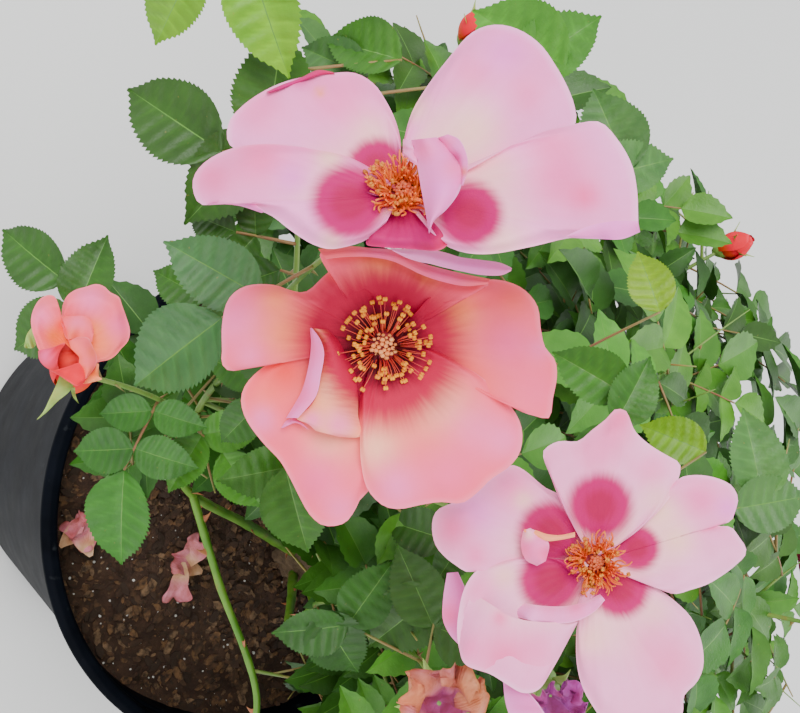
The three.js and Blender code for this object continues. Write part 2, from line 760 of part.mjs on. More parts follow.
function nearestOn(shoots, place) {
  let best = null;
  for (const grown of shoots) {
    for (const share of [0.1, 0.25, 0.4, 0.55, 0.7, 0.85, 1]) {
      const spot = grown.route.getPoint(share);
      if (!best || spot.distanceTo(place) < best.distanceTo(place)) best = spot;
    }
  }
  return best;
}

function skeletonOf(mass, massIndex, limbs) {
  const stem = stemOf(mass, limbs.find((limb) => limb.mass === mass.name));
  const flowers = flowersOf(mass, stem);
  const flowerShoots = [
    ...flowers.blooms.filter(({ bend }) => bend).map((bloom) => chosenShoot(bloom, bloomFoot(bloom), stem)),
    ...flowers.buds.filter((bud) => bud.bend).map((bud) => chosenShoot(bud, budFoot(bud), stem)),
    ...archesOf(mass).map((arch) => chosenShoot(arch, seen(arch.end), stem)),
  ];
  return { mass, massIndex, stem, flowers, flowerShoots };
}

function sideShootsOf(skeleton, limbs, flowers) {
  const { mass, massIndex, stem } = skeleton;
  const shoots = [];
  for (let index = 0; index < SHOOTS_PER_MASS; index += 1) {
    for (const length of [1, 0.75, 0.5]) {
      const grown = sideShoot(stem, massIndex, index, SHOOT_LENGTH * length);
      const spots = grown.route.getPoints(8).slice(1);
      const fits = spots.every((spot) => inOwnSpace(spot, mass) && inCrown(spot) && !openToView(spot)
        && clearOfLimbs(spot, limbs) && clearOfBlooms(spot, flowers));
      if (fits) {
        shoots.push({ ...grown, index: index + 1 });
        break;
      }
    }
  }
  return shoots;
}

function massSolid(skeleton, limbs, flowers) {
  const { mass, massIndex, stem, flowerShoots } = skeleton;
  const sideShoots = sideShootsOf(skeleton, limbs, flowers);
  let solid = solidOf(taperedSkin(stem.places, stem.radii, TWIG_SIDES + 1));
  for (const grown of [...flowerShoots, ...sideShoots]) {
    solid = solid.add(solidOf(taperedSkin(grown.places, grown.radii, TWIG_SIDES)));
  }
  for (const bloom of skeleton.flowers.blooms) solid = solid.add(bloomSolid(bloom));
  for (const bud of skeleton.flowers.buds) solid = solid.add(budSolid(bud));
  const fits = (leaf) => leafSpots(leaf).every((spot) => inOwnSpace(spot, mass)
    && clearOfLimbs(spot, limbs) && clearOfBlooms(spot, flowers));
  const made = { leaves: 0 };
  const fuse = (leaf) => {
    const piece = leafSolid(leaf);
    if (solid.intersect(piece).volume() > FUSED_VOLUME) return false;
    const fused = solid.add(piece);
    if (!weldsClosed(fused)) return false;
    solid = fused;
    made.leaves += 1;
    return true;
  };
  const fuseWhereItFits = (grown, node) => {
    for (const scale of LEAF_SCALES) {
      for (let turn = 0; turn < LEAF_TRIES; turn += 1) {
        const leaf = grownLeaf(grown, massIndex, grown.index, node, scale, turn / LEAF_TRIES);
        const open = leafSpots(leaf).some((spot) => openToView(spot) || !inCrown(spot));
        if (!open && fits(leaf) && fuse(leaf)) return;
      }
    }
  };
  for (const row of SEEN_LEAVES.filter((leaf) => leaf.mass === mass.name)) {
    const end = seen(row.end);
    const root = nearestOn([stem, ...flowerShoots, ...sideShoots], end);
    const leaf = compoundLeaf(root, end, seen(row.tip), row.pairs, FORWARD.clone().negate());
    if (fits(leaf)) fuse(leaf);
  }
  for (let pass = 0; pass < LEAF_STRIDE; pass += 1) {
    for (const grown of [{ ...stem, index: 0 }, ...sideShoots]) {
      const nodes = Math.floor(grown.length / LEAF_SPACING);
      for (let node = (pass + grown.index) % LEAF_STRIDE; node < nodes; node += LEAF_STRIDE) {
        if (made.leaves < (mass.quota || LEAF_QUOTA)) fuseWhereItFits(grown, node);
      }
    }
  }
  return wholeBody(solid);
}

// The plant in its pot

const plasticColour = new THREE.MeshStandardMaterial({ color: 0x17191b, roughness: 0.45, metalness: 0 });
const soilColour = new THREE.MeshStandardMaterial({ color: 0x3b2a20, roughness: 1, metalness: 0 });
const barkColour = new THREE.MeshStandardMaterial({ color: 0x7a6040, roughness: 0.85, metalness: 0 });
const caneColour = new THREE.MeshStandardMaterial({ color: 0x5d7a33, roughness: 0.6, metalness: 0 });
const leafColour = new THREE.MeshStandardMaterial({ color: 0x3f7339, roughness: 0.55, metalness: 0 });

const plant = new THREE.Group();

function addPart(name, geometry, material) {
  const part = new THREE.Mesh(geometry, material);
  part.name = name;
  plant.add(part);
}

const limbs = [];
for (const mass of MASSES) limbs.push(limbOf(mass, limbs));
const skeletons = MASSES.map((mass, index) => skeletonOf(mass, index, limbs));
const flowers = skeletons.flatMap((skeleton) => [...skeleton.flowers.blooms, ...skeleton.flowers.buds]);

addPart('pot', potGeometry(), plasticColour);
addPart('soil', soilGeometry(), soilColour);
addPart('stem_base', geometryOf(knuckleSolid(limbs.filter((limb) => !limb.parent))), barkColour);
for (const limb of limbs) addPart(limb.name, geometryOf(limbSolid(limb)), caneColour);
for (const skeleton of skeletons) {
  addPart('foliage_' + skeleton.mass.name, geometryOf(massSolid(skeleton, limbs, flowers)), leafColour);
}

export default plant;
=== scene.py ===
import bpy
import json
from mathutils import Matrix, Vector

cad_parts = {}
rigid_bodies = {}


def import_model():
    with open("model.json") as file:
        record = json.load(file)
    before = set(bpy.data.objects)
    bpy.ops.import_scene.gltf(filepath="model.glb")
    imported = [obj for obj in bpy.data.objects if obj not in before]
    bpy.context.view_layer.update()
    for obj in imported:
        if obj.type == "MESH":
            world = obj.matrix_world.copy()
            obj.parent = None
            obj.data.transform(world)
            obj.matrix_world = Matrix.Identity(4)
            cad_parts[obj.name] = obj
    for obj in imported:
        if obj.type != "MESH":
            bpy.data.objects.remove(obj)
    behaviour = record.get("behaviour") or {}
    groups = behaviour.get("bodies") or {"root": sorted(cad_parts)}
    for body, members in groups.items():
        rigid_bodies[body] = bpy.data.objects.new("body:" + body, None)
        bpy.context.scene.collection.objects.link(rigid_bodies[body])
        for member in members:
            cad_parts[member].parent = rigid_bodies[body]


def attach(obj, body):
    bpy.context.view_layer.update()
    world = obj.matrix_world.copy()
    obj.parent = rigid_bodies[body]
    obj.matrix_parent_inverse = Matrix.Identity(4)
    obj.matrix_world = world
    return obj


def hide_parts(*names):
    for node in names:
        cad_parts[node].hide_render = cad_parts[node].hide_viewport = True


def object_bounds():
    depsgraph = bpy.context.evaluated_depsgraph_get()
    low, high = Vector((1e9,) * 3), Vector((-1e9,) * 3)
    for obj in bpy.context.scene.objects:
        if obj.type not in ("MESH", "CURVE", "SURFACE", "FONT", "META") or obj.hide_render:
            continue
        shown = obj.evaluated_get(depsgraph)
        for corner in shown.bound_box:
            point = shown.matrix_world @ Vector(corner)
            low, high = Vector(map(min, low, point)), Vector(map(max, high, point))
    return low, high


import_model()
cad_box = [list(corner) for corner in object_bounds()]

import itertools
import json
import math

import bpy
import numpy as np
from mathutils import Matrix, Vector

MM = 0.001

# Drawn numbers, the same as the source's
HASH_START = 2166136261
HASH_PRIME = 16777619
HASH_FACTOR = 1540483477
LOW_BITS = 0xFFFFFFFF

# Directions and curves
AXES = np.eye(3)
UP = AXES[2]
STEEP = 0.05
LENGTH_STEPS = 200
TANGENT_STEP = 0.0001

# The view: a picture point lies on a ray from the eye
EYE = np.array([-87.0, -345.0, 817.0])
TILT = math.radians(35.5)
ROLL = math.radians(-3.6)
FOCAL = 1200
PICTURE_WIDTH = 800
PICTURE_MIDDLE = (400, 356.5)
SENSOR_WIDTH = 36
LEVEL_RIGHT = np.array([0.0, math.cos(TILT), math.sin(TILT)])
LEVEL_DOWN = np.array([1.0, 0.0, 0.0])
FORWARD = np.array([0.0, math.sin(TILT), -math.cos(TILT)])
RIGHT = math.cos(ROLL) * LEVEL_RIGHT + math.sin(ROLL) * LEVEL_DOWN
DOWN = -math.sin(ROLL) * LEVEL_RIGHT + math.cos(ROLL) * LEVEL_DOWN

# Floor and lights in metres: name, place, size and power in watts
FLOOR_REACH = 4
LIGHT_TARGET = (0, 0, 0.4)
LIGHTS = [
    ("key", (-1, -0.9, 2.2), 1.5, 50),
    ("fill", (1.5, -1.2, 1.5), 1.6, 20),
    ("back_light", (0.4, 1.8, 1.5), 1.4, 16),
]

# Pot
RIM_RADIUS = 140
POT_HEIGHT = 235
FOOT_RADIUS = 104
WALL = 2.4
COLLAR_HEIGHT = 22
COLLAR_STEP = 2.5
COLLAR_LINE_GAP = 5
LIP_WIDTH = 6
LIP_DEPTH = 7
POT_FLOOR = 3
POT_SEGMENTS = 144

# Soil
SOIL_TOP = 205
SOIL_EDGE = 197
SOIL_FLAT_RADIUS = 66
SOIL_RADIUS = 125
SOIL_RINGS = 110
SOIL_SIDES = 260
SKIRT_LEVELS = (SOIL_EDGE - 6, SOIL_EDGE - 60)

# Graft knuckle
KNUCKLE_PLACE = np.array([35.0, 25.0, SOIL_TOP + 0.35])
KNUCKLE_RADIUS = 17
KNUCKLE_HEIGHT = 36
KNUCKLE_RINGS = 44
KNUCKLE_SIDES = 72
KNUCKLE_LEVELS = (-0.06, 0.15, 0.5, 0.78, 1)
KNUCKLE_WIDTHS = (0.86, 0.9, 1, 0.84, 0.42)
LUMP_TIP = 1.02
POINT_RADIUS = 0.02

# Limbs
CANE_RADII = (3.9, 2.3)
BOUGH_RADII = (2.8, 2)
CANE_ROOT_HEIGHT = 20
LIMB_SHARES = (0.76, 0.7)
SHOOT_SHARE = 0.72
CANE_ROOT_SHARE = 0.88
JOINT_GAP = 0.3
BARK_STEP = 2.2
LIMB_SIDES = 18
LIMB_NODES = [0.16 + 0.19 * i for i in range(5)]
PRICKLE_RINGS = 6
PRICKLE_SIDES = 8
LIMB_PRICKLES = dict(spacing=21, last=0.96, steps=(0.4, 0.8), sizes=(3.4, 5.6))
SHOOT_PRICKLES = dict(spacing=24, last=0.9, steps=(0.5, 0.5), sizes=(2.6, 2.6))

# Shoots
STEM_RADII = (2.1, 1.3)
SHOOT_RADII = (1.35, 0.95)
STEM_REACH = 1.45
STEM_LEAD = 0.4
SHOOT_LENGTH = 86
SHOOTS_PER_MASS = 5
SHOOT_SPREAD = math.radians(58)
SHOOT_RISE = 0.16
SHOOT_FALL = -0.42
SHOOT_PLACES = (0.12, 0.92)
SHOOT_SHORTENING = (1.1, 0.75)
SHOOT_VARIETY = 0.15
TWIG_PLACES = (0.22, 0.42, 0.62, 0.82)
SPUR_PLACES = (0.44, 0.56, 0.68, 0.8, 0.92)
GOLDEN_ANGLE = math.radians(137.5)
TWIG_LENGTH = 52
TWIG_VARIETY = 0.3
TWIG_RADII = (0.95, 0.6)
SHOOT_TIP = (0.3,)

# Leaves
LEAF_SPACING = 15
LEAF_SPREAD = math.radians(62)
LEAF_DROOP = 0.22
LEAF_VARIETY = 0.2
FIRST_NODE = 0.7
LEAF_TILT = 0.5
LEAF_LIFT = -0.4
TWO_PAIR_SHARE = 0.7
LEAFLET_LENGTH = 30
LEAFLET_WIDTH = 0.67
BASE_ROUNDNESS = 0.62
TIP_SHARPNESS = 0.98
LEAFLET_WIDEST = 0.39
TIP_TAPER = 0.45
TOOTH_LENGTH = 0.022
TOOTH_DEPTH = 0.032
RACHIS_LENGTH = 44
FIRST_PAIR = 11
PAIR_STEP = 19
PAIR_SIZES = (0.9, 0.76, 0.6)
PAIR_ANGLE = math.radians(64)
PAIRS_REACH = 0.85

# Crown
CROWN_CENTRE = np.array([5.0, 0.0, 325.0])
CROWN_RADII = np.array([272.0, 272.0, 182.0])
CROWN_SKIRT = 242
BLOOM_MARGIN = 3
BLOOM_DEPTH = 15
RECEPTACLE_LENGTH = 9

MASSES = [
    dict(name="front_left", centre=(-85, -150, 470), bend=(-18, -93, 296), tip=(-50, -126, 366)),
    dict(name="left", centre=(-190, -15, 375), bend=(-45, 8, 268), tip=(-104, 2, 316), ends="bud"),
    dict(name="back_left", centre=(-130, 135, 375), bend=(-28, 62, 272), tip=(-76, 88, 318), ends="bud"),
    dict(name="back", centre=(10, 195, 372), bend=(16, 82, 276), tip=(14, 126, 318), ends="bloom"),
    dict(name="back_right", centre=(145, 140, 372), bend=(74, 72, 270), tip=(104, 98, 314), ends="bloom"),
    dict(name="right", centre=(195, 0, 372), bend=(88, 18, 264), tip=(130, 12, 306), ends="bloom"),
    dict(name="middle", centre=(25, -60, 405), bend=(58, -22, 280), tip=(34, -42, 334)),
    dict(name="front_right", centre=(155, -120, 368), bend=(84, -62, 322), tip=(112, -84, 330),
         parent="front_left", share=0.62, ends="bloom"),
    dict(name="crown_left", centre=(-70, 45, 455), bend=(-30, 30, 320), tip=(-44, 38, 376),
         parent="left", share=0.42),
    dict(name="crown_back", centre=(20, 110, 465), bend=(22, 70, 330), tip=(20, 86, 384),
         parent="back", share=0.4, ends="bud"),
    dict(name="crown_right", centre=(85, 15, 455), bend=(74, 22, 310), tip=(78, 18, 372),
         parent="right", share=0.34, ends="bloom"),
]

# A young shoot that arches over with no flower
ARCHES = [
    dict(mass="front_left", share=0.9, bend=(318, 70, 350), end=(226, -64, 334)),
]

# Parts of the picture that no leaf grown by the rule may cover
OPEN_VIEWS = [
    [(-400, -400), (125, -400), (125, 80), (230, 78), (300, 85), (190, 205), (125, 245), (60, 212),
     (-400, 212)],
    [(-400, 290), (30, 290), (30, 400), (75, 470), (100, 560), (130, 575), (165, 480), (215, 500),
     (290, 565), (300, 620), (245, 640), (300, 720), (300, 900), (-400, 900)],
    [(640, 75), (760, 75), (740, 160), (655, 165)],
]

# Petals
PETAL_COLUMNS = 64
PETAL_ROWS = 22
FORMED_ROWS = 14
FLAP_ROWS = 12
ROW_POWER = 0.8
PETAL_FOOT = 0.02
BLOOM_SPREAD = 45
RIB_HEIGHT = 0.11
RIB_CLOSENESS = 46
# Waves across a petal: the share where they start, how close they are and how petals differ
WAVES = ((0.35, 4.2, 1.9), (0.6, 9.5, 3.1), (0.85, 21, 4.3))
NO_HEART = 3.0
CHART = "OFBake"
ATLAS_CELLS = 10
CELL_EDGE = 0.04
FIRST_FLAP_KEY = 40
SEPAL_ROWS = 10
SEPAL_COLUMNS = 5
HIP_PROFILE = [(0.3, -1), (0.62, -0.72), (0.86, -0.4), (0.92, -0.05), (0.72, 0.35), (0.62, 0.7), (0.86, 1)]
HIP_SHARES = (0.42, 0.42, 0.5)
BUD_PETALS = 6
BUD_TURN = 0.4
END_BUD_RISE = 6
END_BUD_SIZE = 18
SPENT_RISE = 3

# Rounds of petals by formula: degrees from petal to petal, how much a draw shifts each, and the lift
OPEN_WHORL = dict(count=5, turn=72, shake=14, draw=61, lift=13, rise=3)
SPENT_WHORL = dict(count=7, turn=51, shake=20, draw=62, lift=30, rise=7)
COMMON_PETAL = (42, 37)
SPENT_SHARES = (0.62, 0.6, 0.2)
# How far sepals reach where petals are by formula and where they are pictured
CALYX_REACH = (14, 9)
# Steps between the numbers that make petals differ from flower to flower
BLOOM_KEYS = 11
CLOSED_KEYS = 13
BUD_KEYS = 17

# Room round leaves
BOX_SLACK = 6
FRONT_ROOM = 70
CROWD_CELL = 14
LEAF_ROOM = 9.5
LEAF_TRIES = 5
RACHIS_BOW = 0.05
LONG_RACHIS = 75
LONG_RACHIS_BOW = -0.07
RACHIS_RADII = (0.62, 0.42)
LEAF_PIECE_POINTS = 80000
LEAF_ROWS = 14
NEAR_LEAF_ROWS = 44
LEAF_COLUMNS = (-1, -0.55, -0.022, 0.022, 0.55, 1)
NEAR_LEAF_COLUMNS = (-1, -0.84, -0.6, -0.32, -0.016, 0.016, 0.32, 0.6, 0.84, 1)
VEINS = 7
VEIN_HEIGHT = 0.017
RIPPLE = 0.02
RIB_DEPTH = 0.006
VEIN_LIGHT = 0.3
RIB_LIGHT = 0.12
LEAF_SHADES = 0.16
LEAFLET_TILT = 0.25

# Compost
CRUMB_COUNT = 5600
GRIT_SHARE = 0.09
GRIT_SHAPE = np.array([1, 0.9, 0.8])
CRUMB_SHAPE = np.array([1.3, 0.62, 0.4])
CRUMB_COLOURS = ("#38261A", "#5C402A", "#7C5838", "#4A3222", "#8C6C4E")

# Leaf colours
GREENS = {
    "deep": ("#284C12", "#345F1A"),
    "mid": ("#2E5E16", "#3D741E"),
    "fresh": ("#40781C", "#528C26"),
    "lime": ("#568C10", "#6C9E18"),
    "yellow": ("#648E04", "#7CA20A"),
    # A lighter, greyer green: painted sheen, the gloss of a shiny leaf put into its base colour
    "grey": ("#3A6630", "#4C7A3A"),
}
SPRAY_GREENS = ("mid", "mid", "deep", "fresh", "deep", "grey", "mid", "deep", "mid", "fresh")

# Petal colours: cream near the heart, the body, a flush over it and the rim, then the share where
# the cream ends and the strength of the flush
PALETTES = {
    "pale": ("#FFB9C8", "#FD9CD8", "#FA80C2", "#FFBCE6", 0.7, 0.6),
    "warm": ("#FF7D64", "#FF5F77", "#FC4E6E", "#FF869A", 0.85, 0.5),
    "clear": ("#FFC6CC", "#FDACD6", "#FA8CC6", "#FFC0E4", 0.7, 0.55),
    "common": ("#FFADAD", "#FC88B8", "#F46AA3", "#FFACD1", 0.75, 0.5),
    "deep": ("#C80A28", "#CC004E", "#B80044", "#F04890", 0.7, 0.5),
    "lilac": ("#FBA2E0", "#F685CE", "#F071C4", "#FFB8EE", 0.7, 0.5),
    "coral": ("#F86834", "#FF6571", "#FF596B", "#FF8C93", 0.75, 0.45),
    "ember": ("#C83C06", "#D80C24", "#C80C1C", "#F05A62", 0.6, 0.5),
    "blood": ("#8A0406", "#9C0410", "#80040C", "#C81C26", 0.7, 0.5),
    "peach": ("#F48C2D", "#FFAA74", "#FF926A", "#FFBB8E", 0.6, 0.3),
    "bud": ("#E04A1C", "#EA1830", "#DC102A", "#F84A5A", 0.5, 0.5),
    "tan": ("#C060A0", "#EC9E70", "#A83C84", "#C07838", 0.7, 0.6),
    "mauve": ("#C468C0", "#BE48AC", "#84208A", "#D890C4", 0.7, 0.7),
    "shed": ("#ECC09A", "#F09AAC", "#D86C84", "#9C4A22", 0.6, 0.5),
}
FADED = ("tan", "mauve", "shed")

# A petal's finish, by its two blotch colours, the blotch's edges and how far the fibres spread it
BLOTCHES = {
    "pale": ("#B40060", "#A6004A"),
    "warm": ("#B8003A", "#4A0412"),
    "clear": ("#B4005E", "#A40046"),
}
BLOTCH_EDGES = ((1.36, 0.86), (0.8, 0.4))
FEATHER = 0.24
FIBRE_STRETCH = (ATLAS_CELLS * 40, ATLAS_CELLS * 2, 1)
STREAK_COLOUR = (1, 0.84, 0.92, 1)
PLAIN_PATCH = (0.35, 0.65)
TINTED_PATCH = (0.3, 0.7)
FINE_SPAN = 0.12

# Stamens: how many, how far out, how high and how curled, and the stigmas in their midst
STAMENS = {
    "fresh": dict(count=105, reach=(5.2, 12.2), height=4.6, curl=1.6, foot=3.6, anthers=1, stigmas=28,
                  heap=3.3, thick=0.66, filament_slot=6),
    "spent": dict(count=190, reach=(1.6, 8.6), height=4.4, curl=10, foot=3.4, anthers=0.2, stigmas=22,
                  heap=2.1, steps=8, thick=1.25, anther_slot=4, stigma_slot=5),
}
STAMEN_FINISHES = ["filament", "anther", "stigma", "boss", "old_anther", "old_stigma", "red_filament"]
FILAMENT_RADII = (0.26, 0.17)
ANTHER_RADII = (0.4, 0.46, 0.68)
LOBE_GAP = 0.28
STIGMA_RADII = 0.62 * np.array([1, 0.9, 0.75])
BOSS_HEIGHT = 2.1

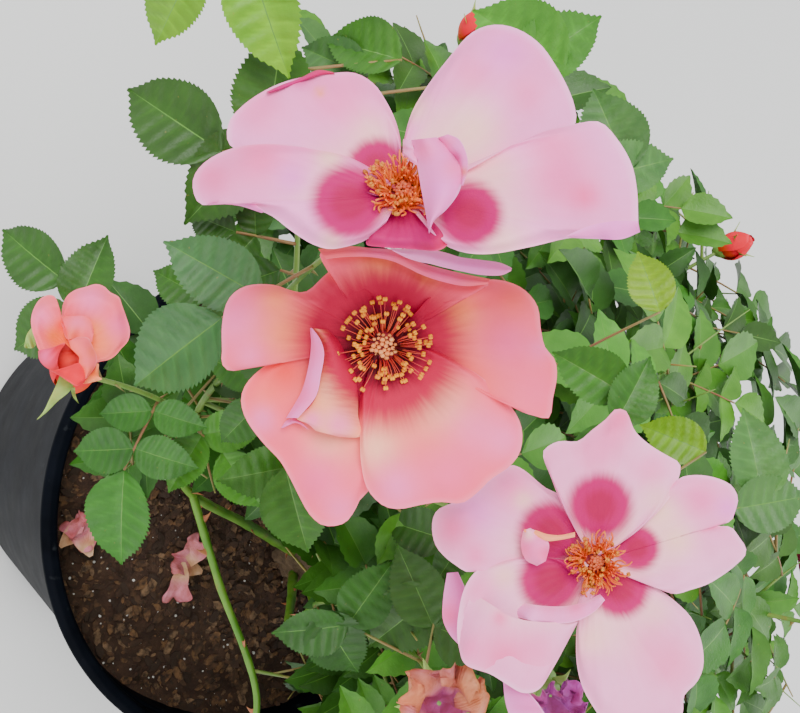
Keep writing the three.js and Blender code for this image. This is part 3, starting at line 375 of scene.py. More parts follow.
# Blooms with a chosen place. A petal's outline is picture points from one side of its foot
# round to the other. A flap is a folded part between two lines, at a height over the bloom's
# plane for each. A blush is a picture point, a radius and a colour.
BLOOMS = [
    dict(
        name="one", mass="front_left", share=0.62, bend=(300, 250, 360), place=(400, 195, 268),
        facing=(-0.49, -0.535, 0.69), palette="pale", style="spent", heart=(403, 198, 268),
        petals=[
            dict(layer=0, lift=4, spot=(377, 168, 30), outline=[
                (372, 196), (300, 172), (240, 152), (228, 142), (229, 122), (240, 108), (262, 92),
                (290, 80), (325, 74), (355, 73), (374, 84), (386, 101), (396, 122), (401, 145), (400, 172)],
                blushes=[(345, 95, 34, "rose"), (258, 112, 26, "rose"), (372, 132, 20, "cream"),
                         (300, 78, 9, "magenta"), (320, 92, 5, "peach")]),
            dict(layer=0.6, lift=3, spot=(452, 182, 22), outline=[
                (405, 180), (402, 160), (404, 140), (412, 112), (426, 88), (447, 60), (470, 34), (486, 26),
                (503, 25), (522, 31), (541, 45), (556, 66), (568, 88), (575, 108), (575, 124), (540, 140),
                (500, 155), (465, 180), (440, 195)],
                blushes=[(470, 74, 20, "rose"), (505, 52, 22, "lilac"), (528, 96, 20, "rose"),
                         (416, 108, 14, "cream"), (470, 128, 30, "cream")]),
            dict(layer=1, lift=5, curl=4, spot=(470, 214, 33), outline=[
                (430, 200), (465, 175), (500, 155), (540, 133), (575, 124), (600, 122), (618, 140),
                (632, 165), (637, 190), (638, 215), (637, 232), (622, 238), (600, 237), (570, 238),
                (530, 247), (490, 254), (462, 252), (440, 242), (425, 225)],
                blushes=[(560, 180, 34, "rose"), (585, 196, 16, "pink"), (556, 150, 24, "rose"),
                         (500, 240, 26, "cream"), (490, 172, 20, "cream")]),
            dict(layer=0.4, lift=2, palette="deep", ring=62, outline=[
                (395, 212), (372, 232), (366, 244), (380, 247), (410, 249), (440, 250), (448, 243),
                (440, 228), (425, 214)],
                blushes=[(402, 218, 14, "ember")]),
            dict(layer=2.6, lift=4, curl=4, spot=(349, 202, 38), outline=[
                (392, 182), (372, 168), (340, 152), (300, 146), (262, 144), (230, 149), (205, 162),
                (194, 176), (193, 190), (200, 204), (222, 204), (246, 207), (270, 215), (290, 230),
                (310, 243), (328, 249), (345, 247), (366, 240), (385, 225)],
                blushes=[(256, 158, 30, "pink"), (212, 178, 20, "pink"), (292, 178, 16, "lilac"),
                         (330, 158, 14, "cream"), (332, 240, 12, "cream")]),
        ],
        flaps=[
            dict(palette="lilac", heights=(7, 10), arch=3.2, lines=[
                [(411, 140), (417, 165), (421, 188), (426, 215), (429, 234)],
                [(437, 137), (455, 153), (463, 172), (459, 192), (446, 210), (434, 221), (429, 234)]],
                blushes=[(424, 150, 12, "rose"), (452, 168, 9, "rose"), (440, 190, 10, "lilac")]),
            dict(palette="lilac", heights=(10, 12), arch=1.4, lines=[
                [(437, 138), (447, 148), (456, 159), (461, 172), (461, 184)],
                [(448, 134), (459, 139), (466, 152), (468, 168), (463, 186)]],
                blushes=[(456, 158, 8, "magenta"), (464, 172, 5, "tan"), (449, 142, 7, "rose")]),
            dict(palette="pale", heights=(5, 7), arch=1, lines=[
                [(403, 139), (403, 150), (405, 158)], [(411, 140), (415, 153), (418, 166)]]),
            dict(palette="deep", heights=(4.5, 5), arch=0.8, lines=[
                [(266, 92), (283, 84), (300, 78), (318, 70), (333, 72)],
                [(270, 93), (287, 87), (303, 81), (320, 75), (335, 74)]],
                blushes=[(290, 84, 40, "magenta")]),
            dict(palette="lilac", heights=(9.5, 7), arch=0.6, lines=[
                [(566, 236), (589, 226), (614, 221), (638, 221)],
                [(572, 238), (600, 239), (622, 239), (640, 232)]],
                blushes=[(614, 230, 30, "lilac")]),
            dict(palette="lilac", heights=(7, 8.5), arch=0.5, lines=[
                [(206, 204), (222, 204), (240, 206), (262, 213)],
                [(216, 202), (228, 196), (238, 193), (264, 211)]]),
        ],
    ),
    dict(
        name="two", mass="front_left", share=1, bend=(380, 380, 400), place=(383, 346, 304),
        facing=(0.01, -0.5, 0.86), palette="warm", style="fresh",
        petals=[
            dict(layer=-0.6, lift=7, curl=4, ring=80, outline=[
                (372, 325), (345, 300), (330, 275), (320, 252), (345, 247), (380, 250), (410, 260),
                (430, 269), (460, 277), (490, 284), (470, 290), (440, 295), (420, 310), (405, 330)],
                blushes=[(378, 266, 22, "peach"), (425, 276, 14, "peach")]),
            dict(layer=0.2, lift=4, ring=76, outline=[
                (360, 350), (310, 355), (280, 358), (262, 368), (246, 384), (241, 398), (243, 412),
                (250, 426), (264, 444), (280, 461), (291, 480), (300, 498), (310, 515), (322, 525),
                (335, 526), (346, 522), (355, 510), (361, 498), (369, 491), (366, 460), (362, 430),
                (372, 380)],
                blushes=[(284, 372, 22, "ember"), (268, 396, 22, "coral"), (330, 440, 22, "sand"),
                         (322, 478, 26, "pink"), (340, 510, 16, "rose"), (262, 420, 14, "rose")]),
            dict(layer=1.4, lift=4, ring=80, outline=[
                (405, 345), (410, 320), (428, 300), (436, 290), (455, 283), (480, 280), (500, 280),
                (522, 288), (537, 305), (541, 330), (545, 347), (555, 360), (557, 376), (553, 398),
                (549, 418), (535, 416), (520, 411), (500, 398), (480, 380), (455, 365), (430, 352)],
                blushes=[(458, 312, 20, "peach"), (474, 372, 22, "coral"), (508, 346, 26, "pink"),
                         (536, 392, 24, "pink"), (512, 300, 18, "coral"), (540, 350, 12, "rose")]),
            dict(layer=2, lift=4, ring=90, outline=[
                (372, 330), (372, 300), (369, 282), (362, 262), (345, 259), (325, 275), (305, 292),
                (290, 290), (275, 285), (250, 285), (236, 291), (227, 302), (222, 325), (222, 350),
                (222, 364), (230, 371), (260, 362), (285, 356), (310, 353), (340, 350), (362, 345)],
                blushes=[(236, 322, 30, "rose"), (284, 332, 24, "peach"), (276, 300, 16, "peach"),
                         (342, 268, 12, "peach"), (250, 356, 14, "rose")]),
            dict(layer=2.8, lift=4, ring=80, outline=[
                (368, 365), (360, 400), (360, 435), (361, 462), (366, 486), (375, 499), (386, 507),
                (400, 509), (420, 505), (440, 502), (462, 503), (478, 492), (490, 480), (510, 466),
                (520, 452), (522, 430), (515, 412), (503, 398), (490, 384), (470, 369), (450, 357),
                (425, 348), (400, 350)],
                blushes=[(376, 446, 26, "sand"), (436, 404, 30, "sand"), (474, 430, 26, "rose"),
                         (450, 470, 26, "pink"), (504, 440, 20, "rose"), (398, 486, 24, "rose")]),
        ],
        flaps=[
            dict(palette="coral", heights=(7, 8.5), arch=1.5, lines=[
                [(318, 249), (345, 246), (372, 248), (395, 250), (408, 255), (420, 262), (440, 268),
                 (465, 274), (490, 279)],
                [(326, 259), (345, 257), (370, 257), (392, 261), (406, 267), (420, 274), (440, 281),
                 (465, 286), (488, 284)]],
                blushes=[(380, 254, 24, "pink"), (440, 275, 34, "pink")]),
            dict(palette="pale", heights=(9, 10), arch=1.4, lines=[
                [(390, 248), (404, 249), (418, 247), (430, 249), (447, 253), (460, 257), (482, 260),
                 (501, 263), (512, 268)],
                [(393, 251), (407, 258), (420, 262), (431, 264), (442, 267), (460, 271), (482, 275),
                 (502, 275), (511, 271)]],
                blushes=[(470, 266, 40, "lilac")]),
            dict(palette="peach", heights=(7, 4.5), arch=2.4, ring=70, lines=[
                [(311, 328), (320, 339), (324, 352), (321, 374), (318, 392), (309, 408), (296, 418),
                 (308, 424), (316, 431)],
                [(328, 330), (338, 340), (346, 355), (355, 374), (358, 399), (359, 420), (366, 431),
                 (359, 437), (340, 437)]],
                blushes=[(326, 388, 13, "sand"), (340, 424, 16, "rose"), (312, 420, 10, "rose")]),
            dict(palette="lilac", heights=(6, 9), arch=1.2, lines=[
                [(310, 328), (311, 344), (309, 363), (302, 390), (294, 405), (286, 418)],
                [(312, 328), (320, 339), (324, 352), (321, 374), (316, 396), (298, 418)]],
                blushes=[(314, 350, 20, "pink"), (304, 395, 20, "pink")]),
            dict(palette="lilac", heights=(5, 6), arch=1.2, lines=[
                [(281, 428), (286, 421), (296, 417)], [(283, 428), (296, 423), (309, 430)]],
                blushes=[(300, 424, 14, "pink")]),
        ],
    ),
    dict(
        name="three", mass="front_left", share=0.3, bend=(520, 540, 400), place=(594, 562, 335),
        facing=(-0.12, -0.6, 0.8), palette="clear", style="spent",
        petals=[
            dict(layer=0, lift=5, spot=(637, 548, 23), outline=[
                (612, 552), (640, 530), (660, 500), (680, 478), (695, 475), (708, 476), (722, 480),
                (732, 486), (738, 498), (735, 512), (731, 521), (716, 526), (731, 527), (739, 537),
                (746, 548), (745, 556), (738, 563), (730, 570), (708, 584), (690, 590), (675, 594),
                (656, 588), (630, 578)],
                blushes=[(700, 498, 20, "rose"), (728, 508, 12, "lilac"), (676, 540, 18, "cream"),
                         (660, 512, 18, "cream")]),
            dict(layer=0.4, lift=5, spot=(550, 533, 32), outline=[
                (588, 540), (574, 512), (560, 495), (546, 488), (536, 480), (524, 470), (512, 465),
                (498, 471), (484, 480), (468, 491), (450, 504), (440, 508), (434, 515), (432, 530),
                (436, 546), (445, 557), (454, 564), (468, 572), (490, 566), (520, 558), (550, 562)],
                blushes=[(476, 512, 24, "lilac"), (452, 530, 20, "pink"), (512, 490, 22, "rose"),
                         (474, 556, 14, "rose"), (524, 500, 10, "cream")]),
            dict(layer=1, lift=5, spot=(620, 588, 30), outline=[
                (608, 580), (640, 582), (660, 590), (676, 602), (690, 616), (698, 631), (703, 650),
                (703, 668), (697, 682), (684, 696), (682, 716), (660, 735), (630, 735), (605, 722),
                (592, 705), (582, 686), (577, 665), (576, 645), (578, 622), (590, 600)],
                blushes=[(668, 662, 24, "pink"), (650, 640, 26, "rose"), (592, 640, 18, "cream"),
                         (656, 610, 16, "cream")]),
            dict(layer=1.8, lift=6, spot=(600, 506, 33), outline=[
                (575, 530), (562, 505), (552, 480), (543, 452), (550, 445), (560, 441), (578, 441),
                (592, 430), (606, 419), (616, 409), (626, 411), (631, 422), (635, 431), (645, 441),
                (656, 449), (668, 456), (680, 464), (678, 480), (668, 500), (650, 520), (625, 540),
                (600, 550)],
                blushes=[(617, 428, 20, "pink"), (622, 416, 9, "pink"), (600, 452, 24, "rose"),
                         (650, 470, 18, "rose"), (656, 500, 16, "cream")]),
            dict(layer=2.4, lift=5, spot=(551, 580, 33), outline=[
                (575, 575), (550, 560), (522, 557), (507, 559), (492, 563), (480, 568), (470, 578),
                (463, 592), (459, 610), (457, 630), (459, 648), (464, 662), (478, 669), (492, 675),
                (508, 685), (523, 693), (538, 690), (548, 676), (555, 660), (562, 642), (572, 625),
                (588, 610), (596, 590)],
                blushes=[(504, 576, 14, "cream"), (480, 590, 16, "rose")]),
        ],
        flaps=[
            dict(palette="clear", heights=(9.5, 7), arch=1.6, sinks=(6.5, 8), lines=[
                [(472, 592), (492, 605), (512, 617), (541, 622), (560, 622), (578, 621)],
                [(457, 630), (459, 648), (465, 664), (492, 675), (523, 693), (538, 690), (552, 670),
                 (577, 624)]],
                blushes=[(506, 656, 26, "pink"), (540, 650, 22, "rose"), (500, 618, 8, "pink"),
                         (470, 650, 14, "rose")]),
            dict(palette="pale", heights=(8.5, 9.5), arch=1.3, sinks=(4, 4), lines=[
                [(516, 600), (530, 604), (546, 606), (566, 606), (584, 602), (600, 594)],
                [(508, 614), (525, 619), (545, 623), (573, 622), (594, 612), (605, 600)]],
                blushes=[(548, 607, 12, "rose"), (575, 607, 10, "pink")]),
            dict(palette="pale", heights=(7, 9), arch=2.2, lines=[
                [(523, 531), (521, 546), (526, 560), (537, 566)],
                [(530, 528), (541, 534), (549, 544), (546, 561)]],
                blushes=[(522, 550, 15, "pink"), (545, 554, 12, "pink"), (528, 534, 6, "cream")]),
            dict(palette="peach", heights=(9, 9.5), arch=0.8, lines=[
                [(524, 529), (535, 530), (547, 534), (560, 535), (575, 532)],
                [(524, 532), (535, 536), (547, 541), (560, 540), (575, 537)]],
                blushes=[(530, 530, 10, "peach")]),
            dict(palette="lilac", heights=(-6, -6), arch=1, lines=[
                [(447, 573), (443, 600), (443, 620), (450, 635), (458, 644)],
                [(458, 572), (466, 590), (472, 610), (470, 630), (461, 644)]],
                blushes=[(448, 615, 14, "pink")]),
            dict(palette="lilac", heights=(-9, -9), arch=1, lines=[
                [(503, 680), (505, 700), (511, 722)], [(524, 688), (537, 702), (550, 722)]]),
        ],
    ),
]

# Buds and spent flowers with a chosen place
BUDS = [
    dict(
        name="half_open", mass="front_left", share=0.12, bend=(155, 388, 368), place=(72, 352, 331),
        facing=(-0.64, -0.3, 0.7), size=24, body=15, sink=7,
        petals=[
            dict(base=1, lift=5, curl=2, outline=[
                (66, 345), (62, 309), (67, 296), (75, 290), (85, 287), (97, 284), (105, 287), (110, 292),
                (119, 297), (122, 305), (126, 316), (130, 331), (128, 341), (121, 349), (115, 356),
                (108, 360), (99, 362), (85, 368)],
                blushes=[(90, 300, 16, "rose"), (118, 326, 14, "pink"), (101, 346, 13, "peach"),
                         (96, 330, 9, "peach")]),
            dict(base=2, lift=6, curl=2, outline=[
                (72, 342), (67, 336), (63, 323), (60, 313), (58, 303), (54, 296), (48, 295), (40, 299),
                (34, 308), (31, 319), (32, 330), (35, 339), (40, 351), (53, 355)],
                blushes=[(40, 316, 12, "rose"), (53, 336, 9, "tan"), (62, 326, 6, "ember")]),
        ],
        flaps=[
            dict(palette="coral", heights=(6, 5), arch=1.2, lines=[
                [(60, 316), (73, 316), (85, 316), (91, 321), (94, 331)],
                [(62, 328), (67, 339), (77, 338), (86, 338), (92, 342)]],
                blushes=[(78, 320, 10, "rose"), (74, 336, 9, "tan")]),
            dict(palette="ember", heights=(6, 9), arch=1.5, lines=[
                [(38, 351), (39, 359), (43, 365), (51, 370), (59, 369)],
                [(40, 350), (53, 347), (65, 343), (60, 352), (57, 362)]],
                blushes=[(44, 356, 10, "pink")]),
            dict(palette="blood", heights=(6, 7), arch=0.6, lines=[
                [(65, 343), (57, 353), (56, 362), (59, 369)], [(68, 346), (74, 352), (79, 358), (78, 364)]],
                blushes=[(68, 359, 7, "ember")]),
            dict(palette="coral", heights=(9, 7), arch=1.6, lines=[
                [(69, 341), (71, 348), (79, 357), (79, 363), (83, 369), (85, 379)],
                [(77, 337), (88, 338), (93, 347), (97, 357), (95, 367), (87, 378)]],
                blushes=[(93, 352, 7, "tan"), (90, 372, 7, "tan"), (76, 346, 8, "coral")]),
            dict(palette="bud", heights=(9, 8), arch=1.6, lines=[
                [(59, 369), (69, 366), (79, 363), (84, 368), (85, 379)],
                [(51, 371), (60, 376), (69, 382), (77, 386), (84, 380)]]),
            dict(palette="peach", heights=(5, 5), arch=0.8, lines=[
                [(96, 363), (95, 369), (88, 377), (83, 384)],
                [(99, 364), (99, 376), (102, 379), (90, 383)]],
                blushes=[(94, 374, 7, "tan")]),
        ],
        sepals=[
            dict(heights=(-3, -5), arch=0.8, lines=[
                [(60, 374), (56, 385), (49, 400), (43, 412), (37, 419)],
                [(75, 384), (69, 392), (58, 401), (46, 413), (37, 420)]]),
            dict(heights=(-4, -4), arch=0.3, lines=[
                [(70, 387), (73, 397), (79, 404)], [(75, 387), (76, 396), (79, 404)]]),
            dict(heights=(-1, -1), arch=0.6, lines=[
                [(33, 326), (27, 334), (24, 346)], [(36, 345), (33, 348), (25, 348)]]),
        ],
    ),
    dict(name="spent_low", mass="middle", share=0.5, bend=(430, 650, 430), place=(438, 700, 385),
         facing=(0, -0.5, 0.86), size=24, kind="spent", palette="tan"),
    dict(name="spent_mauve", mass="middle", share=0.8, bend=(530, 640, 430), place=(548, 690, 392),
         facing=(0.3, -0.4, 0.8), size=17, kind="spent", palette="mauve"),
]

# Soft spots of colour on a petal
BLUSHES = {
    "rose": "#FB76B3", "pink": "#F95F9B", "lilac": "#F481D6", "cream": "#FFD0B8", "peach": "#FF9755",
    "sand": "#FFBE96", "coral": "#FF675B", "ember": "#F43826", "magenta": "#C81480", "tan": "#EC7020",
}
BLUSH_SHARE = 0.75

# Leaves with a chosen place: the rachis's end, the tip of its last leaflet, the pairs and the
# colour, and for some the pairs' size, angle and gap
# Leaves given the lighter grey green have painted sheen in their colour
SEEN_LEAVES = [
    ((222, 152, 345), (120, 84, 350), 1, "deep"),
    ((195, -36, 330), (152, 44, 334), 0, "lime"),
    ((248, -44, 328), (286, 78, 334), 0, "lime"),
    ((66, 282, 358), (-5, 228, 362), 2, "deep"),
    ((206, 300, 372), (150, 268, 376), 0, "mid"),
    ((236, 232, 350), (186, 212, 356), 1, "deep"),
    ((222, 318, 330), (128, 388, 336), 1, "grey"),
    ((124, 470, 402), (116, 572, 408), 2, "mid", 0.68, math.radians(78), 0.62),
    ((222, 452, 408), (262, 512, 414), 2, "fresh"),
    ((285, 467, 396), (308, 557, 402), 1, "mid"),
    ((320, 610, 420), (358, 682, 426), 1, "deep"),
    ((440, 590, 420), (366, 650, 424), 1, "deep"),
    ((402, 60, 345), (322, 36, 350), 0, "mid"),
    ((368, 78, 350), (298, 44, 354), 0, "grey"),
    ((628, 172, 345), (594, 84, 350), 1, "grey"),
    ((565, 70, 340), (470, 6, 346), 1, "fresh"),
    ((628, 396, 375), (552, 350, 380), 1, "mid"),
    ((762, 500, 370), (748, 406, 374), 1, "grey"),
    ((660, 312, 380), (638, 248, 385), 0, "yellow"),
    ((706, 452, 384), (640, 424, 388), 0, "yellow"),
    ((280, 270, 350), (218, 292, 354), 0, "deep"),
    ((262, 400, 380), (218, 446, 384), 1, "mid"),
    ((448, 540, 424), (382, 520, 428), 1, "deep"),
]

# Shed petals on the compost: the picture point and the turn in degrees
SHED_LENGTH = 24
SHED_WIDTH = 17
SHED_LIFT = math.radians(10)
SHED_KEY = 200
FALLEN_PETALS = [
    (73, 531, 40), (90, 530, 200), (82, 538, 120), (192, 552, 60), (178, 580, 250), (186, 566, 165),
]


def vec(values):
    return np.array(values, dtype=float)


def unit(v):
    return v / np.linalg.norm(v)


def mix(a, share_a, b, share_b):
    return a * share_a + b * share_b


def swung(first, second, angle):
    """A direction at an angle from the first of two, towards the second."""
    return mix(first, math.cos(angle), second, math.sin(angle))


def between(span, share):
    return span[0] + (span[1] - span[0]) * share


def smooth(low, high, value):
    t = np.clip((value - low) / (high - low), 0, 1)
    return t * t * (3 - 2 * t)


def stirred(state, key, first_shift, last_shift):
    """A state of 32 bits with one more key stirred in."""
    state = ((state ^ key) * HASH_PRIME) & LOW_BITS
    state = ((state ^ (state >> first_shift)) * HASH_FACTOR) & LOW_BITS
    return state ^ (state >> last_shift)


def chance(*keys):
    """A repeatable number from 0 to 1 for a row of whole numbers, the same as the source's."""
    state = HASH_START
    for key in keys:
        state = stirred(state, key, 13, 15)
    return state / (LOW_BITS + 1)


def varied(amount, *keys):
    """A number near 1, by at most an amount."""
    return 1 - amount + 2 * amount * chance(*keys)


def lattice_noise(points, seed, size):
    """Smooth noise from -1 to 1 at points, with features of a size."""
    cell = np.asarray(points) / size
    base = np.floor(cell).astype(np.int64)
    part = smooth(0, 1, cell - base)
    total = np.zeros(len(cell))
    for corner in np.ndindex(*(2,) * cell.shape[1]):
        state = np.full(len(cell), HASH_START ^ seed, dtype=np.uint64)
        for axis, step in enumerate(corner):
            state = stirred(state, ((base[:, axis] + step) & 0xFFFF).astype(np.uint64), 15, 13)
        weight = np.prod([part[:, a] if s else 1 - part[:, a] for a, s in enumerate(corner)], axis=0)
        total += weight * (state.astype(float) / (LOW_BITS + 1) * 2 - 1)
    return total


def shifts(places, seed, size):
    """A noisy shift of each place along all three axes."""
    return np.column_stack([lattice_noise(places, seed + k, size) for k in range(3)])


# The picture

def rays(across, down):
    """The directions from the eye to picture points."""
    return (FORWARD + np.multiply.outer(across - PICTURE_MIDDLE[0], RIGHT) / FOCAL
            + np.multiply.outer(down - PICTURE_MIDDLE[1], DOWN) / FOCAL)


def seen(place):
    """The place at a picture point, at a distance along the view."""
    across, down, distance = place
    return EYE + distance * rays(across, down)


def pictured(place):
    """The picture point that shows a place."""
    away = place - EYE
    distance = away @ FORWARD
    return (PICTURE_MIDDLE[0] + FOCAL * (away @ RIGHT) / distance,
            PICTURE_MIDDLE[1] + FOCAL * (away @ DOWN) / distance)


def within(corners, across, down):
    """Whether a picture point is inside a shape with these corners."""
    inside = False
    for (x, y), (u, v) in zip(corners, corners[-1:] + corners[:-1]):
        if (y > down) != (v > down) and across < (u - x) * (down - y) / (v - y) + x:
            inside = not inside
    return inside


def open_to_view(place):
    return any(within(corners, *pictured(place)) for corners in OPEN_VIEWS)


# Curves, as the source's

class Route:
    """A curve from 0 to 1."""

    def __init__(self, point):
        self.point = point
        self.length = float(np.linalg.norm(np.diff(self.points(LENGTH_STEPS), axis=0), axis=1).sum())

    def points(self, steps):
        return np.array([self.point(i / steps) for i in range(steps + 1)])

    def tangent(self, share):
        return unit(self.point(min(share + TANGENT_STEP, 1)) - self.point(max(share - TANGENT_STEP, 0)))


def quadratic(a, b, c):
    return Route(lambda t: a * (1 - t) ** 2 + b * 2 * t * (1 - t) + c * t * t)


def centripetal(points):
    def point(t):
        spot = (len(points) - 1) * t
        i = min(int(spot), len(points) - 2)
        w = spot - i
        p1, p2 = points[i], points[i + 1]
        p0 = points[i - 1] if i > 0 else 2 * p1 - p2
        p3 = points[i + 2] if i + 2 < len(points) else 2 * p2 - p1
        d0, d1, d2 = (max(math.sqrt(np.linalg.norm(b - a)), 1e-4) for a, b in ((p0, p1), (p1, p2), (p2, p3)))
        t1 = ((p1 - p0) / d0 - (p2 - p0) / (d0 + d1) + (p2 - p1) / d1) * d1
        t2 = ((p2 - p1) / d1 - (p3 - p1) / (d1 + d2) + (p3 - p2) / d2) * d1
        c2 = -3 * p1 + 3 * p2 - 2 * t1 - t2
        c3 = 2 * p1 - 2 * p2 + t1 + t2
        return p1 + w * (t1 + w * (c2 + w * c3))
    return Route(point)


def around(along, angle, spread):
    """A direction that leaves another by a spread, at an angle round it."""
    side = np.cross(UP, along)
    if np.linalg.norm(side) < STEEP:
        side = AXES[0] - along * along[0]
    side = unit(side)
    return unit(swung(along, swung(side, np.cross(along, side), angle), spread))


# Meshes are heaps of parts that are joined into one object

def linked(name, data):
    """A new object in the scene."""
    thing = bpy.data.objects.new(name, data)
    bpy.context.scene.collection.objects.link(thing)
    return thing


def fill(data, field, values, kind=np.float32):
    data.foreach_set(field, values.astype(kind).ravel())


class Heap:
    """Vertices and faces gathered from many parts, with a finish for each face."""

    def __init__(self):
        self.vertices = []
        self.faces = []
        self.slots = []
        self.fields = {}
        self.count = 0
        self.cells = 0

    def add(self, vertices, faces, slot=0, **fields):
        """Fields are tint, a colour, heart, a number, and chart, a place in the petals' chart."""
        self.vertices.append(vertices)
        for block in faces:
            self.faces.append(block + self.count)
        self.slots.extend(slot if isinstance(slot, list) else [np.full(len(block), slot) for block in faces])
        for name, values in fields.items():
            self.fields.setdefault(name, []).append(values)
        self.count += len(vertices)

    def make(self, name, finishes, slot, replaced, smooth_faces=True):
        mesh = bpy.data.meshes.new(name)
        corners = np.concatenate([block.ravel() for block in self.faces])
        sizes = np.concatenate([np.full(len(block), block.shape[1]) for block in self.faces])
        mesh.vertices.add(self.count)
        mesh.loops.add(len(corners))
        mesh.polygons.add(len(sizes))
        fill(mesh.vertices, "co", np.concatenate(self.vertices) * MM)
        fill(mesh.loops, "vertex_index", corners, np.int32)
        fill(mesh.polygons, "loop_start", np.cumsum(sizes) - sizes, np.int32)
        fill(mesh.polygons, "loop_total", sizes, np.int32)
        fill(mesh.polygons, "material_index", np.concatenate(self.slots), np.int32)
        fill(mesh.polygons, "use_smooth", np.full(len(sizes), smooth_faces), bool)
        mesh.update(calc_edges=True)
        fields = {field: np.concatenate(rows) for field, rows in self.fields.items()}
        if "tint" in fields:
            tints = np.column_stack([fields["tint"], np.ones(self.count)])
            fill(mesh.color_attributes.new("tint", "FLOAT_COLOR", "POINT").data, "color", tints)
        if "heart" in fields:
            fill(mesh.attributes.new("heart", "FLOAT", "POINT").data, "value", fields["heart"])
        if "chart" in fields:
            fill(mesh.uv_layers.new(name=CHART).data, "uv", fields["chart"][corners])
        for finish in finishes:
            mesh.materials.append(FINISHES[finish])
        piece = linked(name, mesh)
        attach(piece, "root")
        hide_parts(*replaced)


def grid_faces(rows, columns, closed=False):
    """Quads between rows of points, closed round each row if asked."""
    across = columns if closed else columns - 1
    i, k = np.meshgrid(np.arange(rows - 1), np.arange(across), indexing="ij")
    a = i * columns + k
    b = i * columns + (k + 1) % columns
    return np.stack([a, b, b + columns, a + columns], axis=-1).reshape(-1, 4)


def capped_faces(rows, sides):
    """Quads between rings, and a fan at each end round one of the two points after the last ring."""
    k = np.arange(sides)
    after = (k + 1) % sides
    tip = rows * sides
    end = tip - sides
    foot = np.stack([np.full(sides, tip), after, k], axis=-1)
    head = np.stack([np.full(sides, tip + 1), end + k, end + after], axis=-1)
    return [grid_faces(rows, sides, closed=True), foot, head]


def grid_shares(along, columns):
    """For each point of a grid, its share along it and its share across from -1 to 1."""
    return np.repeat(along, columns), np.tile(np.linspace(-1, 1, columns), len(along))


def angles_round(sides):
    return np.arange(sides) * 2 * math.pi / sides


def ring(middle, width, sides, side=AXES[0], other=AXES[1], flat=1):
    """Places round a middle, wider or narrower by the share flat along the second direction."""
    angles = angles_round(sides)
    return middle + np.outer(width * np.cos(angles), side) + np.outer(width * flat * np.sin(angles), other)


def tube(heap, places, radii, sides, slot=0, relief=None):
    """A tapering tube through places, closed by a point at each end."""
    along = np.gradient(places, axis=0)
    along /= np.linalg.norm(along, axis=1)[:, None]
    side = np.cross(UP, along[0])
    if np.linalg.norm(side) < STEEP:
        side = AXES[0]
    widths = np.interp(np.linspace(0, 1, len(places)), np.linspace(0, 1, len(radii)), radii)
    rings = []
    for i, place in enumerate(places):
        side = unit(side - along[i] * (side @ along[i]))
        width = widths[i] * relief(i, angles_round(sides)) if relief else widths[i]
        rings.append(ring(place, width, sides, side, np.cross(along[i], side)))
    heap.add(np.concatenate(rings + [places[:1], places[-1:]]), capped_faces(len(places), sides), slot)


def turned(heap, profile, sides):
    """A surface turned from a profile of radii and heights."""
    rings = [ring((0, 0, height), radius, sides) for radius, height in profile]
    heap.add(np.concatenate(rings), [grid_faces(len(rings), sides, closed=True)])


def rounded(points, radius, steps=5):
    """A profile with its inner corners rounded."""
    points = [vec(p) for p in points]
    made = [points[0]]
    for before, corner, after in zip(points, points[1:], points[2:]):
        reach = min(radius, *(np.linalg.norm(other - corner) / 2.2 for other in (before, after)))
        start, end = (corner + unit(other - corner) * reach for other in (before, after))
        made.extend(quadratic(start, corner, end).points(steps))
    return made + [points[-1]]


def add_lump(heap, centre, axes, radii, slot=0, rings=5, sides=8, seed=0, rough=0.0, profile=None):
    """A rounded closed lump along the third of its axes, or one turned from a profile."""
    if profile is None:
        angles = np.linspace(0, math.pi, rings + 2)[1:-1]
        profile = [(math.sin(a), -math.cos(a)) for a in angles]
    shape = [ring((0, 0, height), radius, sides) for radius, height in profile]
    shape += [vec([(0, 0, profile[end][1] * LUMP_TIP)]) for end in (0, -1)]
    shape = np.concatenate(shape) * vec(radii)
    if rough:
        shape = shape * (1 + rough * lattice_noise(shape + seed * 7.3, seed, max(radii) * 0.8))[:, None]
    heap.add(centre + shape @ np.array(axes), capped_faces(len(profile), sides), slot)


# Finishes by name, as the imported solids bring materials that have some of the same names
FINISHES = {}


def linear(colour):
    """A web colour as linear red, green and blue."""
    parts = [int(colour[i:i + 2], 16) / 255 for i in (1, 3, 5)]
    return tuple(p / 12.92 if p <= 0.04045 else ((p + 0.055) / 1.055) ** 2.4 for p in parts)


def opaque(colour):
    return (*linear(colour), 1)


class Finish:
    """A material with short ways to make and join its nodes."""

    def __init__(self, name):
        material = bpy.data.materials.new(name)
        material.use_nodes = True
        FINISHES[name] = material
        self.tree = material.node_tree
        self.place = self.node("TexCoord", "Object", {})

    def node(self, kind, output, inputs, **settings):
        """The output of a new node with these settings and inputs."""
        node = self.tree.nodes.new("ShaderNode" + kind)
        for name, value in settings.items():
            setattr(node, name, value)
        self.join(node, inputs)
        return node.outputs[output]

    def join(self, node, inputs):
        """Links a node's inputs to outputs of others, or sets them to values."""
        for name, value in inputs.items():
            if isinstance(value, bpy.types.NodeSocket):
                self.tree.links.new(value, node.inputs[name])
            else:
                node.inputs[name].default_value = value

    def noise(self, size):
        inputs = {"Vector": self.place, "Scale": 1 / (size * MM), "Detail": 4, "Roughness": 0.55}
        return self.node("TexNoise", "Fac", inputs)

    def span(self, value, low, high):
        return self.node("MapRange", "Result", {"Value": value, "From Min": low, "From Max": high})

    def blend(self, share, low, high, kind="MIX"):
        inputs = {"A": low, "B": high, "Factor": share}
        return self.node("Mix", "Result", inputs, data_type="RGBA", blend_type=kind)


